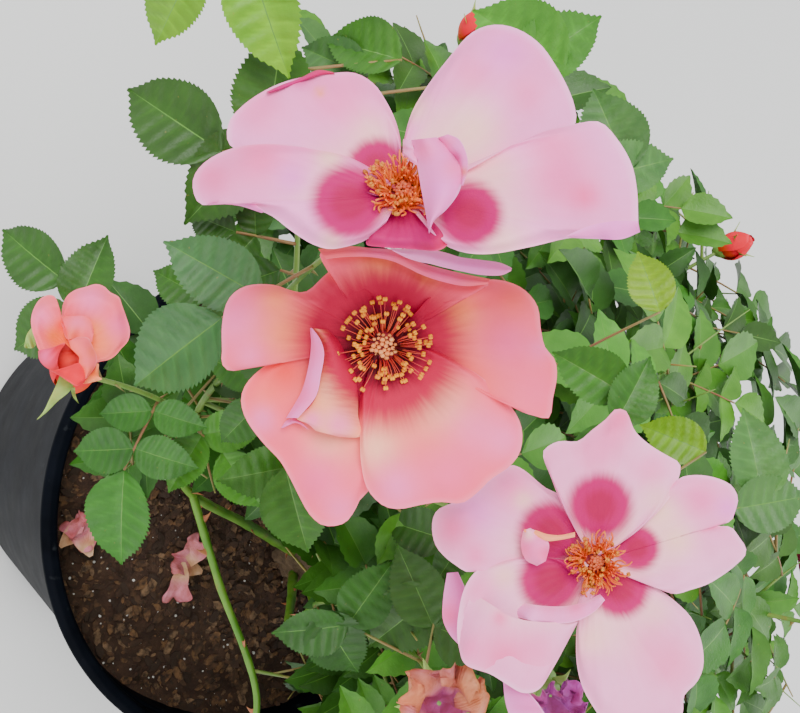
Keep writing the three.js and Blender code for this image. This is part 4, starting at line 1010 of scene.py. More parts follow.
def blotched(finish, base, colours):
    """A petal's base colour with a rose blotch that feathers out along the petal's fibres."""
    chart = finish.node("UVMap", "UV", {}, uv_map=CHART)
    stretched = finish.node("VectorMath", "Vector", {0: chart, 1: FIBRE_STRETCH}, operation="MULTIPLY")
    fibres = finish.node("TexNoise", "Fac", {"Vector": stretched, "Scale": 1, "Detail": 3})
    heart = finish.node("Attribute", "Fac", {}, attribute_name="heart")
    reach = finish.node("Math", "Value", {0: fibres, 1: FEATHER, 2: heart}, operation="MULTIPLY_ADD")
    base = finish.blend(fibres, base, STREAK_COLOUR, "MULTIPLY")
    for colour, (outer, inner) in zip(colours, BLOTCH_EDGES):
        inputs = {"Value": reach, "From Min": inner, "From Max": outer, "To Min": 1, "To Max": 0}
        share = finish.node("MapRange", "Result", inputs, interpolation_type="SMOOTHSTEP")
        base = finish.blend(share, base, opaque(colour))
    return base


def surface(name, colours, patch, rough, bumps, fine=None, tinted=False, shine=0.5, blotches=()):
    """A procedural finish: two colours in patches, a roughness span, and bumps of a size and height."""
    finish = Finish(name)
    shares = finish.span(finish.noise(patch), *(TINTED_PATCH if tinted else PLAIN_PATCH))
    base = finish.blend(shares, opaque(colours[0]), opaque(colours[1]))
    if tinted:
        tint = finish.node("Attribute", "Color", {}, attribute_name="tint")
        base = finish.blend(1, tint, base, "MULTIPLY")
    if fine:
        size, colour, low = fine
        base = finish.blend(finish.span(finish.noise(size), low, low + FINE_SPAN), base, opaque(colour))
    if blotches:
        base = blotched(finish, base, blotches)
    gloss = finish.noise(patch * 0.6)
    gloss = finish.node("MapRange", "Result", {"Value": gloss, "To Min": rough[0], "To Max": rough[1]})
    size, height = bumps
    inputs = {"Strength": 1, "Distance": height * MM, "Height": finish.noise(size)}
    normal = finish.node("Bump", "Normal", inputs)
    finish.join(finish.tree.nodes["Principled BSDF"],
                {"Base Color": base, "Roughness": gloss, "Normal": normal, "Specular IOR Level": shine})


def make_finishes():
    surface("studio_floor", ("#D9D8D5", "#DEDDDA"), 900, (0.7, 0.8), (4, 0.05))
    surface("pot_plastic", ("#07090E", "#0E1118"), 30, (0.4, 0.55), (1.2, 0.06), (7, "#24272A", 0.64),
            shine=0.02)
    surface("compost", ("#38251A", "#4C3424"), 7, (0.86, 0.96), (1.4, 0.9), (2.2, "#604634", 0.62))
    surface("old_bark", ("#5C4A36", "#7A6348"), 5, (0.75, 0.9), (1.6, 0.9), (2.4, "#4A3A2A", 0.6))
    surface("green_cane", ("#548A24", "#74A236"), 16, (0.4, 0.55), (1.5, 0.1), (9, "#8A7A3C", 0.62))
    surface("prickle", ("#A4583A", "#BE7A4A"), 4, (0.4, 0.5), (1, 0.04))
    surface("twig", ("#58812F", "#76923E"), 18, (0.42, 0.56), (1.2, 0.08), (12, "#8A5A34", 0.6))
    surface("young_twig", ("#6C8A38", "#93703C"), 16, (0.42, 0.56), (1.2, 0.06))
    surface("rachis", ("#8A5A3A", "#7C7A3A"), 14, (0.42, 0.56), (1, 0.05))
    surface("filament", ("#D84420", "#EA7A22"), 3, (0.45, 0.6), (0.8, 0.03))
    surface("anther", ("#E07E04", "#F2A30C"), 2, (0.6, 0.8), (0.5, 0.08), (1.2, "#BC5C08", 0.6))
    surface("red_filament", ("#C0202C", "#DC5A34"), 3, (0.45, 0.6), (0.8, 0.03))
    surface("old_anther", ("#B05A10", "#D08420"), 2, (0.6, 0.8), (0.5, 0.08))
    surface("old_stigma", ("#B8401E", "#CE6434"), 2, (0.5, 0.65), (0.6, 0.06))
    surface("stigma", ("#EE8A44", "#F6AE6C"), 2, (0.5, 0.65), (0.6, 0.06))
    surface("boss", ("#7E1024", "#A02036"), 3, (0.55, 0.7), (0.8, 0.1))
    surface("hip", ("#6B9440", "#85A84C"), 8, (0.4, 0.52), (1.2, 0.06))
    surface("sepal", ("#7FA648", "#A3BC5C"), 9, (0.45, 0.58), (1, 0.1), (5, "#B98A4E", 0.66))
    surface("grit", ("#C9C4BB", "#E4E1DA"), 3, (0.6, 0.8), (0.8, 0.1))
    surface("leaf_rib", ("#4C7C26", "#5A8A30"), 10, (0.42, 0.55), (1, 0.05))
    surface("petal_faded", ("#FFFFFF", "#D8B79A"), 6, (0.6, 0.8), (1.4, 0.2), tinted=True)
    for name, blotches in BLOTCHES.items():
        surface("petal_" + name, ("#FFFFFF", "#F9F0F3"), 14, (0.55, 0.7), (0.9, 0.06), tinted=True,
                shine=0.2, blotches=blotches)
    for name, colours in GREENS.items():
        surface("leaf_" + name, colours, 11, (0.36, 0.52), (1.3, 0.16), (1.5, "#8C7A34", 0.7),
                tinted=True, shine=0.34)
    for i, colour in enumerate(CRUMB_COLOURS):
        surface("crumb_%d" % i, (colour, "#3A2A1E"), 3, (0.8, 0.95), (1.1, 0.4))


# Camera, floor and light

def add_camera():
    data = bpy.data.cameras.new("camera")
    data.sensor_fit = "HORIZONTAL"
    data.sensor_width = SENSOR_WIDTH
    data.lens = SENSOR_WIDTH * FOCAL / PICTURE_WIDTH
    data.clip_start = 0.02
    camera = linked("camera", data)
    turn = Matrix([RIGHT, -DOWN, -FORWARD]).transposed().to_4x4()
    camera.matrix_world = Matrix.Translation(Vector(EYE * MM)) @ turn
    bpy.context.scene.camera = camera


def add_floor():
    mesh = bpy.data.meshes.new("floor")
    corners = [(x * FLOOR_REACH, y * FLOOR_REACH, 0) for x, y in ((-1, -1), (1, -1), (1, 1), (-1, 1))]
    mesh.from_pydata(corners, [], [(0, 1, 2, 3)])
    mesh.materials.append(FINISHES["studio_floor"])
    linked("floor", mesh)


def add_light(name, place, size, power):
    data = bpy.data.lights.new(name, "AREA")
    data.shape = "DISK"
    data.size = size
    data.energy = power
    light = linked(name, data)
    light.location = Vector(place)
    light.rotation_euler = (Vector(LIGHT_TARGET) - light.location).to_track_quat("-Z", "Y").to_euler()


def add_studio():
    world = bpy.data.worlds.new("studio")
    bpy.context.scene.world = world
    world.use_nodes = True
    back = world.node_tree.nodes["Background"]
    back.inputs["Color"].default_value = (0.93, 0.96, 1, 1)
    back.inputs["Strength"].default_value = 1.25
    for light in LIGHTS:
        add_light(*light)


# Limbs and shoots, by the source's rule

def make_limbs():
    limbs = {}
    for mass in MASSES:
        bend = vec(mass["bend"])
        if "parent" in mass:
            root = limbs[mass["parent"]]["route"].point(mass["share"])
            lean = mix(root, 0.6, bend, 0.4)
            kind, radii = "bough_", BOUGH_RADII
        else:
            root = KNUCKLE_PLACE + UP * CANE_ROOT_HEIGHT
            outward = bend - root
            outward[2] = 0
            root = root + unit(outward) * KNUCKLE_RADIUS * CANE_ROOT_SHARE
            lean = mix(root, 0.55, bend, 0.45)
            kind, radii = "cane_", CANE_RADII
        route = centripetal([root, lean, bend, vec(mass["tip"])])
        limbs[mass["name"]] = dict(node=kind + mass["name"], route=route, radii=radii)
    return limbs


def make_shoot(root, bend, end, radii):
    return dict(route=quadratic(root, bend, end), radii=radii)


def make_stem(mass, limb):
    leave = limb["route"].tangent(1)
    root = vec(mass["tip"]) + leave * JOINT_GAP
    end = root + (vec(mass["centre"]) - root) * STEM_REACH
    bend = root + leave * STEM_LEAD * np.linalg.norm(end - root)
    return make_shoot(root, bend, end, STEM_RADII)


def branch(parent, share, turn, spread_keys, reach, radii):
    """A shoot that leaves its parent at a share of it, at a turn round it."""
    root = parent["route"].point(share)
    spread = SHOOT_SPREAD * varied(SHOOT_VARIETY, *spread_keys)
    heading = around(parent["route"].tangent(share), turn, spread)
    heading[2] = max(heading[2], SHOOT_FALL)
    end = root + heading * reach + UP * reach * SHOOT_RISE
    return make_shoot(root, root + heading * reach * 0.5, end, radii + SHOOT_TIP)


def side_shoot(stem, mass_index, index, length):
    share = between(SHOOT_PLACES, index / (SHOOTS_PER_MASS - 1))
    turn = GOLDEN_ANGLE * index + 2 * math.pi * chance(mass_index, 7)
    reach = length * between(SHOOT_SHORTENING, share) * varied(SHOOT_VARIETY, mass_index, index, 2)
    return branch(stem, share, turn, (mass_index, index, 1), reach, SHOOT_RADII)


def twigs_of(shoot, places, keys, room):
    """Finer twigs at shares of a shoot or limb, by the rule of the side shoots."""
    made = []
    for k, share in enumerate(places):
        turn = GOLDEN_ANGLE * k + 2 * math.pi * chance(*keys, 41)
        reach = TWIG_LENGTH * varied(TWIG_VARIETY, *keys, k, 43)
        twig = branch(shoot, share, turn, (*keys, k, 42), reach, TWIG_RADII)
        if room.takes_shoot(twig["route"].points(4)[1:]):
            made.append(twig)
    return made


def compound_leaf(root, end, tip, pairs, up, pair_size=1.0, pair_angle=PAIR_ANGLE, pair_gap=1.0):
    """A rachis from its root to its end, a last leaflet to the tip, and pairs behind the end."""
    length = np.linalg.norm(end - root)
    bow = up * length * RACHIS_BOW if length < LONG_RACHIS else UP * length * LONG_RACHIS_BOW
    route = quadratic(root, (root + end) / 2 + bow, end)
    forward = tip - end
    size = np.linalg.norm(forward)
    forward = forward / size
    across = unit(np.cross(forward, up))
    leaflets = [dict(base=end, forward=forward, size=size)]
    for pair, share_of_size in enumerate(PAIR_SIZES[:pairs]):
        back = (FIRST_PAIR + PAIR_STEP * pair) * pair_gap * size / LEAFLET_LENGTH
        if back > length * PAIRS_REACH:
            break
        share = 1 - back / length
        along = route.tangent(share)
        for hand in (-1, 1):
            heading = unit(swung(along, across, hand * pair_angle))
            pair_length = size * pair_size * share_of_size
            leaflets.append(dict(base=route.point(share), forward=heading, size=pair_length))
    return dict(root=root, end=end, route=route, leaflets=leaflets, up=up)


def crown_normal(place):
    return unit((place - CROWN_CENTRE) / CROWN_RADII / CROWN_RADII)


def on_leaflet(leaflet, share):
    return leaflet["base"] + leaflet["forward"] * leaflet["size"] * share


def leaf_spots(leaf):
    """Places on a leaf that need room."""
    spots = [mix(leaf["root"], 1 - share, leaf["end"], share) for share in (0.5, 0.8)]
    for leaflet in leaf["leaflets"]:
        across = unit(np.cross(leaflet["forward"], leaf["up"])) * leaflet["size"] * LEAFLET_WIDTH / 2
        for share, width in ((0.35, 1), (0.7, 0.8)):
            spot = on_leaflet(leaflet, share)
            spots += [spot, spot + across * width, spot - across * width]
        spots.append(on_leaflet(leaflet, 1))
    return spots


def grown_leaf(shoot, keys, node, turn):
    """The leaf at a node of a shoot: round the shoot by the golden angle, and up to the light."""
    share = min((node + FIRST_NODE) * LEAF_SPACING / shoot["route"].length, 1)
    root = shoot["route"].point(share)
    angle = GOLDEN_ANGLE * node + 2 * math.pi * (chance(*keys, 11) + turn)
    heading = around(shoot["route"].tangent(share), angle, LEAF_SPREAD)
    if heading[2] < 0:
        heading[2] *= LEAF_LIFT
    heading = unit(heading)
    rachis = RACHIS_LENGTH * varied(LEAF_VARIETY, *keys, node, 12)
    size = LEAFLET_LENGTH * varied(LEAF_VARIETY, *keys, node, 13)
    end = root + heading * rachis
    tip = end + heading * size - UP * size * LEAF_DROOP
    up = mix(UP, 0.8, crown_normal(end), 0.8)
    for axis in (0, 1):
        up[axis] += LEAF_TILT * (chance(*keys, node, 14 + axis) - 0.5)
    pairs = 2 if chance(*keys, node, 16) < TWO_PAIR_SHARE else 3
    return compound_leaf(root, end, tip, pairs, unit(up))


# Room for leaves

def blocks(flower, place):
    """Whether a place is too near a flower, or between it and the eye."""
    away = place - flower["centre"]
    height = away @ flower["facing"]
    spread = math.sqrt(max(away @ away - height * height, 0))
    if spread < flower["spread"] and -flower["depth"] < height < FRONT_ROOM:
        return True
    if "place" not in flower:
        return False
    x, y, distance = flower["place"]
    across, down = pictured(place)
    nearer = (place - EYE) @ FORWARD < distance + BLOOM_DEPTH
    return nearer and math.hypot(across - x, down - y) < flower["spread"] * FOCAL / distance


class Room:
    """What a leaf has to keep clear of: the crown's edge, open views, flowers and other leaves."""

    def __init__(self, flowers):
        self.flowers = flowers
        self.low = vec(cad_box[0]) / MM - BOX_SLACK
        self.high = vec(cad_box[1]) / MM + BOX_SLACK
        self.taken = {}

    def free(self, place):
        inside = np.linalg.norm((place - CROWN_CENTRE) / CROWN_RADII) < 1 and place[2] > CROWN_SKIRT
        if not (inside and (place > self.low).all() and (place < self.high).all()):
            return False
        return not open_to_view(place) and not any(blocks(flower, place) for flower in self.flowers)

    def takes_shoot(self, places):
        return all(self.free(place) for place in places)

    def cell(self, spot, step=(0, 0, 0)):
        return tuple(int(c // CROWD_CELL) + s for c, s in zip(spot, step))

    def crowded(self, spot):
        for step in itertools.product((-1, 0, 1), repeat=3):
            others = self.taken.get(self.cell(spot, step), ())
            if any(np.linalg.norm(spot - other) < LEAF_ROOM for other in others):
                return True
        return False

    def take(self, leaf):
        for leaflet in leaf["leaflets"]:
            spot = on_leaflet(leaflet, 0.5)
            self.taken.setdefault(self.cell(spot), []).append(spot)

    def fits(self, leaf):
        if any(self.crowded(on_leaflet(leaflet, 0.5)) for leaflet in leaf["leaflets"]):
            return False
        return all(self.free(spot) for spot in leaf_spots(leaf))


# Blooms and buds

def chosen(flowers, mass):
    """The flowers with a chosen place that a mass bears."""
    return [dict(flower, centre=seen(flower["place"]), facing=unit(vec(flower["facing"])))
            for flower in flowers if flower["mass"] == mass["name"]]


def flowers_of(mass, stem):
    end = stem["route"].point(1)
    facing = unit(crown_normal(end) + UP)
    last = dict(name="end_" + mass["name"], facing=facing)
    blooms = chosen(BLOOMS, mass)
    buds = chosen(BUDS, mass)
    if mass.get("ends") == "bloom":
        blooms.append(dict(last, centre=end + facing * RECEPTACLE_LENGTH))
    if mass.get("ends") == "bud":
        buds.append(dict(last, centre=end + facing * END_BUD_RISE, size=END_BUD_SIZE))
    for bloom in blooms:
        bloom.update(spread=BLOOM_SPREAD + BLOOM_MARGIN, depth=BLOOM_DEPTH, back=RECEPTACLE_LENGTH)
    for bud in buds:
        reach = bud["size"] / 2 + BLOOM_MARGIN
        bud.update(spread=reach, depth=reach, back=bud["size"] * 0.4)
    for flower in blooms + buds:
        flower["foot"] = flower["centre"] - flower["facing"] * flower["back"]
    return blooms + buds


def flower_axes(facing):
    right = unit(RIGHT - facing * (RIGHT @ facing))
    return right, np.cross(facing, right)


def based(shape, heading, facing):
    """Places from how far along a heading, beside it and up a facing each of them is."""
    return np.column_stack(shape) @ np.array([heading, np.cross(facing, heading), facing])


def smooth_line(points, count):
    """Evenly spaced places on a curve through picture points."""
    fine = centripetal([vec(p) for p in points]).points(count * 4)
    reach = np.concatenate([[0], np.cumsum(np.linalg.norm(np.diff(fine, axis=0), axis=1))])
    wanted = np.linspace(0, reach[-1], count)
    return np.column_stack([np.interp(wanted, reach, fine[:, k]) for k in (0, 1)])


def on_bloom(flower, picture, height):
    """The places that are seen at picture points, at a height over a bloom's plane."""
    sight = rays(*picture.T)
    start = (flower["centre"] - EYE) @ flower["facing"]
    return EYE + sight * ((start + height) / (sight @ flower["facing"]))[:, None]


def from_point(picture, point):
    """How far picture points are from one of them."""
    return np.hypot(picture[:, 0] - point[0], picture[:, 1] - point[1])


def petal_relief(s, u, seed, waves, cup, curl, rib_fade):
    """Waves across a petal, its cupped sides, its curled rim and its fine ribs."""
    relief = cup * u * u * smooth(0.2, 0.9, s) - curl * smooth(0.78, 1, s) ** 1.5
    for height, (start, closeness, shift) in zip(waves, WAVES):
        relief += height * smooth(start, 1, s) * np.sin(u * closeness + seed * shift)
    ribs = np.sin(u * RIB_CLOSENESS + 2 * np.sin(s * 3 + seed)) * smooth(0.1, 0.5, s)
    return relief + RIB_HEIGHT * ribs * (1 - s * rib_fade)


def pictured_petal(flower, petal, seed):
    """A grid of places for a petal that is given by its outline in the picture."""
    edge = smooth_line(petal["outline"], PETAL_COLUMNS)
    along = np.linspace(0, 1, PETAL_ROWS + 1) ** ROW_POWER
    along[0] = PETAL_FOOT
    s, u = grid_shares(along, PETAL_COLUMNS)
    root = vec(flower["place"][:2])
    picture = root + (np.tile(edge, (len(along), 1)) - root) * s[:, None]
    reach = np.linalg.norm(on_bloom(flower, picture, 0) - flower["centre"], axis=1)
    share = np.clip(reach / reach[-PETAL_COLUMNS:].mean(), 0, 1.3)
    height = petal.get("base", 0) + petal.get("lift", 6) * share ** 1.5
    height += petal.get("layer", 0) * smooth(PETAL_FOOT, 0.3, s)
    height += petal_relief(s, u, seed, (1.15, 0.8, 0.35), cup=1.5, curl=petal.get("curl", 2.5), rib_fade=0.4)
    height += 0.6 * lattice_noise(picture, seed, 34) * smooth(0.2, 0.7, s)
    height += 0.3 * lattice_noise(picture, seed + 1, 15) * smooth(0.3, 0.8, s)
    if "spot" in petal:
        heart = from_point(picture, petal["spot"]) / petal["spot"][2]
    else:
        heart = ring_heart(flower, petal, picture)
    return on_bloom(flower, picture, height), s, u, heart


def ring_heart(flower, shape, picture):
    """How far out a blotch round the bloom's middle has faded, where the shape has one."""
    if "ring" in shape:
        return from_point(picture, flower["place"]) / shape["ring"]
    return np.full(len(picture), NO_HEART)


def pictured_flap(flower, flap, seed):
    """A grid of places for a folded part of a petal, between two lines in the picture."""
    s, u = grid_shares(np.linspace(0, 1, FLAP_ROWS + 1), PETAL_COLUMNS)
    first, last = (np.tile(smooth_line(line, PETAL_COLUMNS), (FLAP_ROWS + 1, 1)) for line in flap["lines"])
    picture = mix(first, 1 - s[:, None], last, s[:, None])
    low, high = flap["heights"]
    height = mix(low, 1 - s, high, s) + flap["arch"] * np.sin(math.pi * s)
    height += 0.5 * np.sin(u * 6 + seed) * (0.4 + 0.6 * s)
    if "sinks" in flap:
        start, finish = flap["sinks"]
        height = mix(height, 1, smooth(-0.5, -1, u), start - height.mean())
        height = mix(height, 1, smooth(0.6, 1, u), finish - height.mean())
    height += RIB_HEIGHT * np.sin(s * 40 + seed)
    return on_bloom(flower, picture, height), 0.5 + 0.5 * s, u, ring_heart(flower, flap, picture)


def formed_petal(flower, turn, reach, width, lift, seed, crumple=0.0):
    """A grid of places for a petal by formula, round a flower's axis."""
    heading = swung(*flower_axes(flower["facing"]), turn)
    s, u = grid_shares(np.linspace(PETAL_FOOT, 1, FORMED_ROWS + 1) ** ROW_POWER, PETAL_COLUMNS)
    notch = 0.09 * np.exp(-(u / 0.3) ** 2) * s ** 5
    along = reach * (s * (1 - 0.2 * np.abs(u) ** 3 * s) - notch)
    across = u * width / 2 * 1.12 * s ** 0.7 * (1 - 0.22 * s ** 5)
    rise = math.tan(lift) * reach * s ** 1.4 + (seed % 5) * 0.5 * smooth(PETAL_FOOT, 0.3, s)
    rise += petal_relief(s, u, seed, (1.6, 0.6), cup=2.2, curl=3, rib_fade=0)
    places = flower["centre"] + based([along, across, rise], heading, flower["facing"])
    if crumple:
        places = places + crumple * s[:, None] * shifts(places, seed, reach * 0.28)
    heart = np.hypot(along - reach * 0.26, across * 0.9) / (reach * 0.24)
    return places, s, u, heart


def toward(tint, colour, share):
    """A tint at each point, taken towards a colour by a share at each."""
    return tint * (1 - share[:, None]) + np.outer(share, linear(colour))


def petal_tint(palette, s, u, seed, noise):
    cream, body, flush, rim, fade, flush_share = PALETTES[palette]
    tint = toward(np.array(linear(body)), cream, 1 - smooth(0.3, fade, s))
    flushed = np.clip(0.5 + 0.5 * np.sin(seed * 2.4 + u * 2.2) + 0.5 * noise, 0, 1) * smooth(0.3, 0.9, s)
    tint = toward(tint, flush, flushed * flush_share)
    return toward(tint, rim, smooth(0.965, 1, s) * 0.7)


def add_petal(heap, grid, palette, seed, blushes=()):
    places, s, u, heart = grid
    rows = len(s) // PETAL_COLUMNS
    noise = lattice_noise(places, seed, 16)
    tint = petal_tint(palette, s, u, seed, noise)
    across, down = pictured(places)
    for x, y, radius, colour in blushes:
        share = BLUSH_SHARE * np.exp(-((across - x) ** 2 + (down - y) ** 2) / radius ** 2)
        tint = toward(tint, BLUSHES[colour], share * np.clip(1 + 0.5 * noise, 0, 1.2))
    corner = np.array([heap.cells % ATLAS_CELLS, heap.cells // ATLAS_CELLS])
    heap.cells += 1
    inside = np.column_stack([(u + 1) / 2, np.repeat(np.linspace(0, 1, rows), PETAL_COLUMNS)])
    chart = (corner + CELL_EDGE + (1 - 2 * CELL_EDGE) * inside) / ATLAS_CELLS
    slot = int(palette in FADED)
    heap.add(places, [grid_faces(rows, PETAL_COLUMNS)], slot, tint=tint, heart=heart, chart=chart)


def add_pictured(heap, flower, palette, key):
    """A flower's petals and flaps that are given in the picture."""
    for kind, form, first in (("petals", pictured_petal, 0), ("flaps", pictured_flap, FIRST_FLAP_KEY)):
        for i, shape in enumerate(flower.get(kind, ()), key + first):
            grid = form(flower, shape, i)
            add_petal(heap, grid, shape.get("palette", palette), i, shape.get("blushes", ()))


def add_whorl(heap, flower, palette, keys, whorl, reach, width, crumple=0.0):
    """A round of petals by formula, each lifted more than the one before."""
    seed, key = keys
    for i in range(whorl["count"]):
        turn = math.radians(whorl["turn"] * i + whorl["shake"] * chance(seed, i, whorl["draw"]))
        lift = math.radians(whorl["lift"] + whorl["rise"] * i)
        grid = formed_petal(flower, turn, reach, width, lift, key + i, crumple)
        add_petal(heap, grid, palette, key + i)


def add_stamens(heap, flower, style, seed):
    """Filaments with anthers in a ring, round a heap of stigmas."""
    facing = flower["facing"]
    right, above = flower_axes(facing)
    thick = style.get("thick", 1)
    for i in range(style["count"]):
        outward = swung(right, above, GOLDEN_ANGLE * i + chance(seed, i, 1) * 0.4)
        reach = between(style["reach"], chance(seed, i, 2))
        height = style["height"] * (0.5 + 0.9 * chance(seed, i, 3))
        curl = np.cross(facing, outward) * style["curl"] * (chance(seed, i, 4) - 0.5)
        root = flower["centre"] + outward * style["foot"] * varied(0.2, seed, i, 5) + facing * 1.2
        end = flower["centre"] + outward * reach + facing * (height + 1.5) + curl
        bend = (root + end) / 2 + facing * height * 0.35 - outward * reach * 0.12 + curl * 0.8
        places = quadratic(root, bend, end).points(style.get("steps", 4))
        tube(heap, places, vec(FILAMENT_RADII) * thick, 4, slot=style.get("filament_slot", 0))
        if chance(seed, i, 6) < style["anthers"]:
            along = unit(places[-1] - places[-2])
            lobe = unit(np.cross(along, outward) + 1e-3)
            lobe_axes = [lobe, np.cross(along, lobe), along]
            for hand in (-1, 1):
                add_lump(heap, end + lobe * LOBE_GAP * hand, lobe_axes, ANTHER_RADII,
                         slot=style.get("anther_slot", 1), rings=3, sides=6)
    axes = [right, above, facing]
    for i in range(style["stigmas"]):
        spread = style["heap"] * math.sqrt((i + 0.5) / style["stigmas"])
        place = flower["centre"] + swung(right, above, GOLDEN_ANGLE * i) * spread
        place = place + facing * (3.4 - 0.16 * spread * spread + chance(seed, i, 9) * 0.8)
        radii = STIGMA_RADII * (0.8 + 0.5 * chance(seed, i, 8))
        add_lump(heap, place, axes, radii, slot=style.get("stigma_slot", 2), rings=3, sides=6)
    boss = (style["foot"] * 1.25, style["foot"] * 1.25, BOSS_HEIGHT)
    add_lump(heap, flower["centre"] + facing * 0.4, axes, boss, slot=3, rings=6, sides=18)


def add_calyx(heap, flower, foot, reach, seed, droop=0.2, spread=1.0):
    """The hip under a flower and its five sepals."""
    facing = flower["facing"]
    right, above = flower_axes(facing)
    length = np.linalg.norm(flower["centre"] - foot)
    add_lump(heap, foot + facing * length * 0.5, [right, above, facing], vec(HIP_SHARES) * length,
             sides=14, profile=HIP_PROFILE)
    base = foot + facing * length * 0.9
    t, v = grid_shares(np.linspace(0, 1, SEPAL_ROWS), SEPAL_COLUMNS)
    half = 0.17 * reach * (1 - t) ** 0.8 * (0.75 + 0.6 * np.sin(math.pi * np.minimum(t * 1.6, 1)))
    outer = spread * reach * t + length * 0.28
    rise = (1 - spread) * reach * t - droop * reach * t * t + 0.036 * reach * (1 - np.abs(v))
    for i in range(5):
        outward = swung(right, above, 2 * math.pi * (i + 0.5 + 0.15 * chance(seed, i)) / 5)
        places = base + based([outer, v * half, rise], outward, facing)
        heap.add(places, [grid_faces(SEPAL_ROWS, SEPAL_COLUMNS)], slot=1)


def add_closed_bud(heap, flower, size, palette, seed):
    """A bud of petals that overlap round an egg."""
    facing = flower["facing"]
    s, u = grid_shares(np.linspace(0, 1, FORMED_ROWS + 1), PETAL_COLUMNS)
    turn_in = u * (1.25 + 0.5 * s)
    for i in range(BUD_PETALS):
        heading = swung(*flower_axes(facing), 2 * math.pi * i * BUD_TURN)
        radius = size * 0.44 * (1 - 0.1 * i) * np.sin(math.pi * np.clip(0.12 + 0.8 * s, 0, 1)) ** 0.7
        radius *= 1 + 0.1 * u * s
        height = size * (-0.5 + 0.98 * s * (1 - 0.1 * np.abs(u) ** 3)) + size * 0.02 * i
        shape = [radius * np.cos(turn_in), radius * np.sin(turn_in), height]
        places = flower["centre"] + based(shape, heading, facing)
        add_petal(heap, (places, s, u, np.full(len(s), NO_HEART)), palette, seed + i)


def add_bud(petals, green, flower, seed):
    size = flower["size"]
    spent = flower.get("kind") == "spent"
    if spent:
        raised = dict(flower, centre=flower["centre"] + flower["facing"] * SPENT_RISE)
        shares = (size * share for share in SPENT_SHARES)
        add_whorl(petals, raised, flower["palette"], (seed, seed * CLOSED_KEYS), SPENT_WHORL, *shares)
    else:
        body = dict(flower, centre=flower["centre"] - flower["facing"] * flower.get("sink", 0))
        add_closed_bud(petals, body, flower.get("body", size), "bud", seed * CLOSED_KEYS)
        add_pictured(petals, flower, "coral", seed * BUD_KEYS)
    for i, flap in enumerate(flower.get("sepals", ())):
        places = pictured_flap(flower, flap, i)[0]
        green.add(places, [grid_faces(FLAP_ROWS + 1, PETAL_COLUMNS)], slot=1)
    if "sepals" not in flower:
        foot = flower["foot"] - flower["facing"] * size * 0.28
        add_calyx(green, flower, foot, size * 0.8, seed, droop=0.5 if spent else 0.0, spread=0.5)


def add_fallen_petals(heap):
    """Shed petals that lie on the compost."""
    for i, (across, down, turn) in enumerate(FALLEN_PETALS):
        direction = rays(across, down)
        spot = EYE + direction * ((SOIL_TOP + 3 - EYE[2]) / direction[2])
        facing = unit(UP + vec([0.3 * math.sin(i * 2.1), 0.3 * math.cos(i), 0]))
        turn = math.radians(turn)
        heading = swung(*flower_axes(facing), turn)
        flat = dict(centre=spot - heading * SHED_LENGTH / 2, facing=facing)
        grid = formed_petal(flat, turn, SHED_LENGTH, SHED_WIDTH, SHED_LIFT, SHED_KEY + i, crumple=3.0)
        add_petal(heap, grid, "shed", SHED_KEY + i)


def make_blossom(flowers, masses):
    stamens = Heap()
    green = Heap()
    others = Heap()
    for seed, flower in enumerate(flowers):
        if "size" in flower:
            add_bud(others, green, flower, seed)
            continue
        if "petals" in flower:
            petals = Heap()
            add_pictured(petals, flower, flower["palette"], seed * BLOOM_KEYS)
            petals.make("petals_" + flower["name"], ["petal_" + flower["palette"]], "petals", masses)
        else:
            add_whorl(others, flower, "common", (seed, seed * BLOOM_KEYS), OPEN_WHORL, *COMMON_PETAL)
        heart = dict(flower, centre=seen(flower["heart"])) if "heart" in flower else flower
        add_stamens(stamens, heart, STAMENS[flower.get("style", "fresh")], seed)
        add_calyx(green, flower, flower["foot"], CALYX_REACH["petals" in flower], seed)
    add_fallen_petals(others)
    others.make("petals_others", ["petal_pale", "petal_faded"], "petals", masses)
    stamens.make("stamens", STAMEN_FINISHES, "stamens", masses)
    green.make("sepals", ["hip", "sepal"], "foliage", masses)


# Leaf meshes

